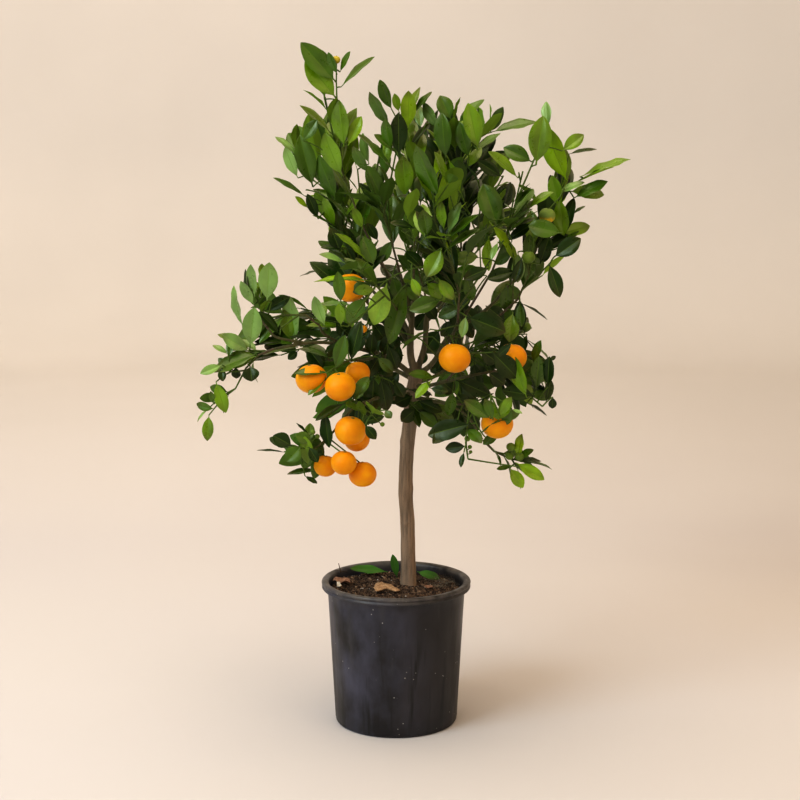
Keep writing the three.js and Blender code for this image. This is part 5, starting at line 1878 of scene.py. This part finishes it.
class CALAMONDIN_OT_wood(bpy.types.Operator):
    """Make the trunk and the boughs as one skin with the bark's relief"""

    bl_idname = "calamondin.wood"
    bl_label = "Trunk and boughs"

    def execute(self, context):
        lines = []
        for name, limb in tree_plan()["crown"].limbs.items():
            steps = 44 if name == "trunk" else 14
            shares = [k / steps for k in range(steps + 1)]
            lines.append([(limb["path"](share)[0], limb["radius_at"](share)) for share in shares])
        centre = [point for line in lines for point in line]
        lines[0][0] = (lines[0][0][0] - UP * 2.5, lines[0][0][1] + 1.2)
        wood = lines_object("bark", lines)
        baked(wood, tubes_tree(bark_finish()), {"Sides": 20})
        skin = wood.modifiers.new("Skin", "REMESH")
        skin.mode = "VOXEL"
        skin.voxel_size = sizes().bark_grain
        even = wood.modifiers.new("Even", "SMOOTH")
        even.iterations = 4
        settled(wood)
        self.relieve(wood.data, centre)
        smooth(wood.data)
        dressed(wood, "bark", "trunk", *BOUGHS)
        return {"FINISHED"}

    def relieve(self, mesh, centre):
        """Moves the skin in and out by upright ridges, and writes each point's girth."""
        count = len(mesh.vertices)
        at = np.empty(3 * count)
        out = np.empty(3 * count)
        mesh.vertices.foreach_get("co", at)
        mesh.vertex_normals.foreach_get("vector", out)
        at, out = at.reshape(-1, 3), out.reshape(-1, 3)
        middles = np.array([place for place, _ in centre]) * MM
        radii = np.array([radius for _, radius in centre]) * MM
        girth = np.empty(count)
        for part in np.array_split(np.arange(count), 1 + count // 4000):
            apart = np.linalg.norm(at[part][:, None] - middles[None], axis=-1)
            girth[part] = radii[(apart - radii).argmin(axis=1)]
        depth = np.empty(count)
        for k, (x, y, z) in enumerate(at):
            ridge = noise.noise(Vector((x * 430, y * 430, z * 46)))
            lump = noise.noise(Vector((x * 90, y * 90, z * 34 + 7)))
            depth[k] = 0.75 * ridge + 1.1 * lump
        scale = sizes().bark_relief * np.clip(girth / 0.009, 0.18, 1.1)
        at += out * (depth * scale)[:, None]
        for (x, y, z), reach, height in KNOTS:
            apart = np.linalg.norm(at - np.array((x, y, z)) * MM, axis=1)
            at += out * (height * MM * np.exp(-((apart / (reach * MM)) ** 2)))[:, None]
        mesh.vertices.foreach_set("co", at.ravel())
        mesh.attributes.new("girth", "FLOAT", "POINT").data.foreach_set("value", girth)


class CALAMONDIN_OT_twigs(bpy.types.Operator):
    """Make every twig and fruit stalk as one mesh of fine tubes"""

    bl_idname = "calamondin.twigs"
    bl_label = "Twigs"

    def execute(self, context):
        plan = tree_plan()
        lines = []
        for twig in plan["twigs"] + plan["stalks"]:
            steps = 3 * twig.steps
            shares = [k / steps for k in range(steps + 1)]
            lines.append([(twig.path(share)[0], twig.radius_at(share)) for share in shares])
        twigs = lines_object("twigs", lines)
        baked(twigs, tubes_tree(twig_finish()), {"Sides": 6, "Thickness": sizes().twig_thickness})
        dressed(twigs, "foliage", *MASSES)
        return {"FINISHED"}


class CALAMONDIN_OT_leaves(bpy.types.Operator):
    """Make the leaves, one mesh for each tint"""

    bl_idname = "calamondin.leaves"
    bl_label = "Leaves"

    def execute(self, context):
        for tint, leaves in tree_plan()["leaves"].items():
            if not leaves:
                raise RuntimeError(f"no spray has the tint {tint}")
            mesh = leaves_mesh(f"leaves_{tint}", leaves, sizes().leaf_fold, sizes().leaf_wave)
            finishes = leaf_finishes(f"Leaf{{}}_{tint}", TINTS[tint], 0.31, SHEEN[tint])
            piece(f"leaves_{tint}", mesh, "foliage", finishes, *MASSES)
        return {"FINISHED"}


def fruit_points(diameter, rings, turns, seed):
    """A slightly flattened fruit with a dimple at its stalk and a faint one below."""
    radius, points = diameter / 2, []
    for i in range(1, rings):
        polar = math.pi * i / rings
        dent = 0.075 * math.exp(-((polar / 0.3) ** 2)) + 0.02 * math.exp(-(((math.pi - polar) / 0.2) ** 2))
        for x, y, z in ring_at(math.sin(polar), math.cos(polar), turns):
            way = Vector((x, y, z))
            swell = 1 - dent + 0.014 * noise.noise(way * 1.7 + Vector((seed, 0, 0)))
            points.append(tuple(way * (radius * swell)))
    points = [(0, 0, radius * 0.925), *points, (0, 0, -radius * 0.98)]
    points = [(x, y, z * FRUIT["oblate"]) for x, y, z in points]
    return points, ring_faces(ring_rows([1] + [turns] * (rings - 1) + [1]))


def joined(name, parts):
    """One mesh from (points in mm, faces) parts."""
    places, faces = [], []
    for points, part in parts:
        first = len(places)
        places += [tuple(np.asarray(p) * MM) for p in points]
        faces += [tuple(first + c for c in face) for face in part]
    return new_mesh(name, places, faces)


def placed(points, at, tilt, turn):
    """Points turned about the upright, leaned over and set at a place."""
    rotation = Matrix.Rotation(tilt[1], 3, "Y") @ Matrix.Rotation(tilt[0], 3, "X")
    rotation = rotation @ Matrix.Rotation(turn, 3, "Z")
    return [tuple(np.array(rotation @ Vector(p)) + at) for p in points]


def calyx_points(radius, raised):
    """A small five-lobed star that caps the fruit at its stalk."""
    turns = 20
    points = [(0, 0, raised + 0.9)]
    for k in range(turns):
        turn = 2 * math.pi * k / turns
        reach = radius * (0.62 + 0.38 * math.cos(2.5 * turn) ** 2)
        points.append((reach * math.cos(turn), reach * math.sin(turn), raised - 0.25))
    points.append((0, 0, raised - 1.2))
    return points, ring_faces(ring_rows([1, turns, 1]))


def fruit_parts(rows):
    """Fruit and calyx for rows of (place, diameter, lean, turn)."""
    bodies, caps = [], []
    for number, (at, diameter, tilt, turn) in enumerate(rows):
        points, faces = fruit_points(diameter, 26, 40, 3.7 * number)
        bodies.append((placed(points, at, tilt, turn), faces))
        raised = diameter / 2 * FRUIT["oblate"] * 0.93
        points, faces = calyx_points(min(3.4, diameter * 0.13), raised)
        caps.append((placed(points, at, tilt, turn), faces))
    return bodies, caps


class CALAMONDIN_OT_fruit(bpy.types.Operator):
    """Make the ripe fruit, the green ones and their calyxes"""

    bl_idname = "calamondin.fruit"
    bl_label = "Fruit"

    def execute(self, context):
        deal = seeded(41)
        ripe = []
        for mass in MASSES.values():
            for x, y, z, diameter in mass.get("fruits", []):
                tilt = (0.5 * (deal() - 0.5), 0.5 * (deal() - 0.5))
                ripe.append((np.array((x, y, z), float), diameter, tilt, 6.3 * deal()))
        bodies, caps = fruit_parts(ripe)
        peel, pale, unripe = (tuple(getattr(colours(), name)) for name in ("peel", "peel_pale", "unripe"))
        holders = [name for name, mass in MASSES.items() if "fruits" in mass]
        piece("fruit", joined("fruit", bodies), "foliage", [peel_finish("Peel", peel, pale)], *holders)
        for kind, finish in (
            ("ripe", peel_finish("Small_Peel", peel, pale)),
            ("turning", turning_finish()),
            ("green", peel_finish("Green_Peel", unripe, shade(unripe, 1.5))),
        ):
            rows = [
                (np.array((x, y, z), float), diameter, (0.2, 0.1), 1.0)
                for x, y, z, diameter, ripeness in SMALL_FRUIT if ripeness == kind
            ]
            small, small_caps = fruit_parts(rows)
            name = f"small_fruit_{kind}"
            piece(name, joined(name, small), "foliage", [finish])
            caps += small_caps
        piece("calyxes", joined("calyxes", caps), "foliage", [calyx_finish()])
        return {"FINISHED"}


class CALAMONDIN_OT_pot(bpy.types.Operator):
    """Turn the pot with its rolled lip and cut its drain holes"""

    bl_idname = "calamondin.pot"
    bl_label = "Pot"

    def execute(self, context):
        mesh = lathe_mesh("pot_shell", self.profile(sizes().pot_height), sizes().pot_sides)
        mesh.materials.append(pot_finish())
        pot = new_object("pot_shell", mesh)
        drill = [(0, -0.01), (0.006, -0.01), (0.006, 0.01), (0, 0.01)]
        drills = []
        for place in ring_at(0.058, 0, 8):
            mesh = lathe_mesh("drain", drill, 24)
            mesh.transform(Matrix.Translation(place))
            drills.append(new_object("drain", mesh))
            cut = pot.modifiers.new("Drain", "BOOLEAN")
            cut.operation, cut.solver, cut.object = "DIFFERENCE", "EXACT", drills[-1]
        settled(pot)
        for obj in drills:
            bpy.data.objects.remove(obj)
        dressed(pot, "pot", "pot")
        return {"FINISHED"}

    @staticmethod
    def profile(height):
        """The wall's section from the middle of its foot, up outside, over the lip and down inside."""
        top, foot, neck, lip = height, 0.0783, 0.0873, 0.095
        points = [(0, 0), (foot - 0.0036, 0), (foot - 0.0014, 0.0006), (foot - 0.0006, 0.0020)]
        points += [(foot - 0.0006, 0.0052), (foot + 0.0001, 0.0060)]
        for k in range(1, 13):
            share = k / 13
            points.append((between(foot, neck, share), between(0.0062, top - 0.0118, share)))
        points += [(neck, top - 0.0118), (neck + 0.0016, top - 0.0103), (lip - 0.0024, top - 0.0098)]
        points += [
            (lip - out, top - down) for out, down in (
                (0.0008, 0.0092), (0.0003, 0.0084), (0.0003, 0.0072), (0.0009, 0.0064), (0.0016, 0.0058),
                (0.0016, 0.0048), (0.0009, 0.0041), (0.0002, 0.0034), (0.0, 0.0024), (0.0004, 0.0012),
                (0.0012, 0.0004), (0.0022, 0.0), (0.0036, 0.0), (0.0048, 0.0003),
            )
        ]
        inner = neck - 0.0019
        points += [(inner + 0.0022, top - 0.0006), (inner + 0.0008, top - 0.0019), (inner, top - 0.0045)]
        for share in (k / 8 for k in range(1, 9)):
            points.append((between(inner, foot - 0.0019, share), between(top - 0.0045, 0.003, share)))
        points.append((0, 0.003))
        return points


def bed_height(x, y):
    """Height of the compost's surface above its lowest level, in metres, at a place in metres."""
    r = math.hypot(x, y)
    from_foot = math.hypot(x - 0.0155, y - 0.0088) - 0.014
    height = 0.0045 * max(0.0, 1 - r / 0.07)
    height += 0.004 * max(0.0, min(1.0, (y - x) / 0.09 - 0.2))
    height += 0.0015 * math.exp(-((from_foot / 0.012) ** 2))
    for lift, scale, layer in ((0.0026, 42, 3), (0.0016, 120, 9), (0.0009, 330, 1)):
        height += lift * noise.noise(Vector((x * scale, y * scale, layer)))
    return height


def crumbs_tree(name, material):
    """Lumps of one rough shape scattered on the upward faces of a bed."""
    tree, given = node_tree(name, Density=20000.0, Size=0.0015, Flatness=1.0, Seed=1)

    def add(kind, inputs, output=0, **settings):
        return add_node(tree, kind, inputs, output, **settings)

    spread = {"Mesh": given["Geometry"], "Density": given["Density"], "Seed": given["Seed"]}
    spots = add("GeometryNodeDistributePointsOnFaces", spread)
    rough = add("ShaderNodeTexNoise", {"Scale": 1.7}, "Color")
    rough = add("ShaderNodeVectorMath", {0: rough, 1: (0.5, 0.5, 0.5)}, operation="SUBTRACT")
    rough = add("ShaderNodeVectorMath", {"Vector": rough, "Scale": 1.5}, operation="SCALE")
    lump = add("GeometryNodeMeshIcoSphere", {"Subdivisions": 2})
    lump = add("GeometryNodeSetPosition", {"Geometry": lump, "Offset": rough})
    turn, size = (
        add("FunctionNodeRandomValue", {"Seed": given["Seed"], **ends}, data_type="FLOAT_VECTOR")
        for ends in ({"Max": (6.3, 6.3, 6.3)}, {"Min": (0.35, 0.35, 0.25), "Max": (1.5, 1.1, 0.9)})
    )
    size = add("ShaderNodeVectorMath", {"Vector": size, "Scale": given["Size"]}, operation="SCALE")
    flat = add("ShaderNodeCombineXYZ", {"X": 1.0, "Y": 1.0, "Z": given["Flatness"]})
    size = add("ShaderNodeVectorMath", {0: size, 1: flat}, operation="MULTIPLY")
    place = {"Points": spots, "Instance": lump, "Rotation": turn, "Scale": size}
    return finish_tree(tree, add("GeometryNodeInstanceOnPoints", place), material)


class CALAMONDIN_OT_soil(bpy.types.Operator):
    """Fill the pot with compost, with crumbs, chips and white grains on it"""

    bl_idname = "calamondin.soil"
    bl_label = "Compost"

    def execute(self, context):
        bed = self.bed()
        scatter = self.top_only(bed)
        crumbs = sizes().crumbs
        for name, dark, pale, density, size, flatness, seed in (
            ("crumb", (0.009, 0.005, 0.003), (0.075, 0.042, 0.023), crumbs, 0.0017, 1.0, 3),
            ("clod", (0.090, 0.050, 0.027), (0.310, 0.190, 0.115), 0.34 * crumbs, 0.0015, 1.0, 5),
            ("chip", (0.120, 0.070, 0.040), (0.400, 0.270, 0.170), 4200, 0.0030, 0.4, 11),
            ("grain", (0.50, 0.46, 0.40), (0.78, 0.75, 0.68), 2400, 0.0012, 1.0, 23),
        ):
            tree = crumbs_tree(f"Scattered {name}s", speck_finish(name.title(), dark, pale))
            values = {"Density": float(density), "Size": size, "Flatness": flatness, "Seed": seed}
            dressed(baked(new_object(f"soil_{name}s", scatter.copy()), tree, values), "soil")
        bpy.data.meshes.remove(scatter)
        return {"FINISHED"}

    @staticmethod
    def bed():
        """A filled bed with a lumpy top. Its sides follow the pot's wall."""
        low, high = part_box("soil")
        edge_height = high.z + 0.0005
        rings, sides = 52, 128
        radius = high.x - 0.0006
        places = [(0, 0, edge_height + bed_height(0, 0))]
        for i in range(1, rings + 1):
            lumpy = 0.5 + 0.5 * min(1.0, (rings - i) / 4)
            for x, y, _ in ring_at(radius * i / rings, 0, sides):
                places.append((x, y, edge_height + bed_height(x, y) * lumpy))
        places += [*ring_at(radius * 0.9, low.z, sides), (0, 0, low.z)]
        # The scatter follows the order of the bed's faces, which run spoke by spoke.
        faces = ring_faces(ring_rows([1] + [sides] * (rings + 1) + [1]))
        faces = [face for k in range(sides) for face in faces[k::sides]]
        return piece("soil_bed", new_mesh("soil_bed", places, faces), "soil", [soil_finish()], "soil")

    @staticmethod
    def top_only(bed):
        """The bed's upward faces, for the scatter, clear of the wall."""
        part = bmesh.new()
        part.from_mesh(bed.data)
        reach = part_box("soil")[1].x - 0.004
        drop = [f for f in part.faces if f.normal.z < 0.3 or f.calc_center_median().xy.length > reach]
        bmesh.ops.delete(part, geom=drop, context="FACES")
        mesh = bpy.data.meshes.new("scatter")
        part.to_mesh(mesh)
        part.free()
        return mesh


def flake_part(outline, lift, crumple, seed):
    """A thin crumpled flake with a ragged edge, as (points, faces)."""
    rim = []
    for (ax, ay), (bx, by) in zip(outline, outline[1:] + outline[:1]):
        rim += [(between(ax, bx, k / 3), between(ay, by, k / 3)) for k in range(3)]
    middle = np.mean(rim, axis=0)
    count, points = len(rim), []
    for under in (0.0, 0.7):
        for share in (1.0, 0.7, 0.4):
            for x, y in rim:
                px, py = middle + (np.array((x, y)) - middle) * share
                rough = noise.noise(Vector((px * 0.16, py * 0.16, seed)))
                rough += 0.4 * noise.noise(Vector((px * 0.5, py * 0.5, seed)))
                points.append((px, py, lift + crumple * (rough + 0.7 * share * share) - under))
        hump = crumple * noise.noise(Vector((*middle * 0.16, seed)))
        points.append((*middle, lift + hump - under))
    rings = ring_rows([count, count, count, 1] * 2)
    upper, lower = rings[:4], rings[4:]
    turned = [(face[0], *face[:0:-1]) for face in ring_faces(upper)]
    return points, turned + ring_faces(lower) + ring_faces([upper[0], lower[0]])


class CALAMONDIN_OT_litter(bpy.types.Operator):
    """Lay the leaves, dry scraps and root hairs on the compost"""

    bl_idname = "calamondin.litter"
    bl_label = "Fallen leaves"

    def execute(self, context):
        leaves = []
        for number, (root, tip, facing, width, curl) in enumerate(FALLEN_LEAVES):
            root, tip = np.array(root, float), np.array(tip, float)
            direction = unit(tip - root)
            normal = np.array(facing, float)
            normal = unit(normal - direction * float(normal @ direction))
            leaves.append(dict(
                root=root, direction=direction, normal=normal, across=cross(direction, normal),
                length=float(np.linalg.norm(tip - root)), width=width, curl=curl,
                draw=seeded(60 + number),
            ))
        mesh = leaves_mesh("fallen_leaves", leaves, 0.2, sizes().leaf_wave)
        finishes = leaf_finishes("Fallen_Leaf{}", (0.048, 0.165, 0.020), 0.5, 0.4)
        piece("fallen_leaves", mesh, "foliage", finishes)
        for kind, dark, pale in (
            ("tan", (0.300, 0.160, 0.070), (0.640, 0.440, 0.260)),
            ("brown", (0.180, 0.080, 0.045), (0.420, 0.240, 0.150)),
            ("pale", (0.550, 0.480, 0.380), (0.800, 0.760, 0.680)),
        ):
            mesh = joined(f"flakes_{kind}", [
                flake_part(outline, lift, crumple, 5.0 * number)
                for number, (finish, lift, crumple, outline) in enumerate(FLAKES) if finish == kind
            ])
            piece(f"flakes_{kind}", mesh, "soil", [speck_finish(f"Flake_{kind}", dark, pale, 0.75)])
        hairs = self.threads(190, (40, 82), (0, 46), (172, 177), 0.11, 0.3)
        fibres = self.threads(150, (-74, 74), (-60, 60), (175, 176.5), 0.24, 0.45)
        sticks = [[(np.array(a, float), r), (np.array(b, float), 0.6 * r)] for a, b, r in STICKS]
        for name, lines, sides, dark, pale in (
            ("root_hairs", hairs, 4, (0.17, 0.14, 0.10), (0.40, 0.36, 0.29)),
            ("fibres", fibres, 4, (0.030, 0.016, 0.009), (0.300, 0.190, 0.110)),
            ("sticks", sticks, 6, (0.030, 0.018, 0.012), (0.130, 0.080, 0.050)),
        ):
            tree = tubes_tree(speck_finish(name.title(), dark, pale))
            dressed(baked(lines_object(name, lines), tree, {"Sides": sides}), "soil")
        return {"FINISHED"}

    @staticmethod
    def threads(count, across, back, height, radius, bend):
        """Short crooked threads strewn over a part of the compost."""
        lines = []
        draw = seeded(count)
        for _ in range(count):
            at = np.array([between(*ends, draw()) for ends in (across, back, height)])
            line = [(at, radius)]
            way = unit(np.array((draw() - 0.5, draw() - 0.5, 0.3 * (draw() - 0.5))))
            for _ in range(4):
                way = unit(way + 2 * bend * np.array((draw() - 0.5, draw() - 0.5, 0.4 * (draw() - 0.5))))
                at = at + way * between(1.2, 4.0, draw())
                at[2] = min(max(at[2], height[0] - 1), height[1] + 2)
                line.append((at, 0.75 * radius))
            if all(math.hypot(*place[:2]) < 83 for place, _ in line):
                lines.append(line)
        return lines


class CALAMONDIN_OT_stage(bpy.types.Operator):
    """Set the floor, the backdrop, the lights and the camera"""

    bl_idname = "calamondin.stage"
    bl_label = "Stage"

    def execute(self, context):
        self.sweep()
        self.lights()
        camera = bpy.data.cameras.new("Camera")
        camera.sensor_width = 36.0
        camera.lens = VIEW_FOCAL * camera.sensor_width / (2 * VIEW_MIDDLE)
        camera.clip_start, camera.clip_end = 0.05, 60.0
        obj = bpy.data.objects.new("Camera", camera)
        obj.location = EYE * MM
        obj.rotation_euler = (math.pi / 2 - PITCH, 0, 0)
        context.scene.collection.objects.link(obj)
        context.scene.camera = obj
        view = context.scene.view_settings
        view.view_transform, view.look, view.gamma = "Standard", "None", 0.80
        return {"FINISHED"}

    @staticmethod
    def sweep():
        """A round floor that curves up into a wall all round, open above."""
        reach, bend, top, ground = 3.4, 0.8, 3.2, -0.0004
        turns = np.linspace(0, math.pi / 2, 16)
        profile = [(0.0, ground), (1.2, ground)]
        profile += [(reach + bend * math.sin(t), ground + bend * (1 - math.cos(t))) for t in turns]
        profile.append((reach + bend, top))
        mesh = lathe_mesh("stage_sweep", [(float(r), float(z)) for r, z in profile], 96)
        mesh.flip_normals()
        floor, wall = tuple(colours().floor), tuple(colours().backdrop)
        mesh.materials.append(stage_finish("Stage_Paper", floor, wall))
        new_object("stage_sweep", mesh)

    @staticmethod
    def lights():
        for name, at, towards, width, power, colour in LIGHTS:
            light = bpy.data.lights.new(name, "AREA")
            light.shape, light.size, light.size_y = "RECTANGLE", width, width
            light.energy, light.color = power, colour
            obj = bpy.data.objects.new(name, light)
            obj.location = at
            way = Vector(towards) - Vector(at)
            obj.rotation_euler = way.to_track_quat("-Z", "Y").to_euler()
            obj.visible_camera = False
            bpy.context.scene.collection.objects.link(obj)
        world = bpy.data.worlds.new("Soft_Room")
        world.use_nodes = True
        inputs = world.node_tree.nodes["Background"].inputs
        inputs["Color"].default_value, inputs["Strength"].default_value = (1.0, 0.72, 0.44, 1), 0.83
        bpy.context.scene.world = world


class CALAMONDIN_PT_panel(bpy.types.Panel):
    """The tree's sizes, colours and pieces"""

    bl_idname = "CALAMONDIN_PT_panel"
    bl_label = "Calamondin tree"
    bl_space_type = "VIEW_3D"
    bl_region_type = "UI"
    bl_category = "Calamondin"

    def draw(self, context):
        for group in (context.scene.calamondin_sizes, context.scene.calamondin_colours):
            box = self.layout.box()
            for name in group.__annotations__:
                box.prop(group, name)
        for operator in PIECES:
            self.layout.operator(operator.bl_idname)


PIECES = (
    CALAMONDIN_OT_wood,
    CALAMONDIN_OT_twigs,
    CALAMONDIN_OT_leaves,
    CALAMONDIN_OT_fruit,
    CALAMONDIN_OT_pot,
    CALAMONDIN_OT_soil,
    CALAMONDIN_OT_litter,
    CALAMONDIN_OT_stage,
)
CLASSES = (CalamondinSizes, CalamondinColours, *PIECES, CALAMONDIN_PT_panel)


def register():
    for cls in CLASSES:
        bpy.utils.register_class(cls)
    bpy.types.Scene.calamondin_sizes = bpy.props.PointerProperty(type=CalamondinSizes)
    bpy.types.Scene.calamondin_colours = bpy.props.PointerProperty(type=CalamondinColours)


def unregister():
    del bpy.types.Scene.calamondin_colours
    del bpy.types.Scene.calamondin_sizes
    for cls in reversed(CLASSES):
        bpy.utils.unregister_class(cls)


def main():
    register()
    bpy.ops.calamondin.wood()
    bpy.ops.calamondin.twigs()
    bpy.ops.calamondin.leaves()
    bpy.ops.calamondin.fruit()
    bpy.ops.calamondin.pot()
    bpy.ops.calamondin.soil()
    bpy.ops.calamondin.litter()
    bpy.ops.calamondin.stage()


if __name__ == "__main__":
    main()
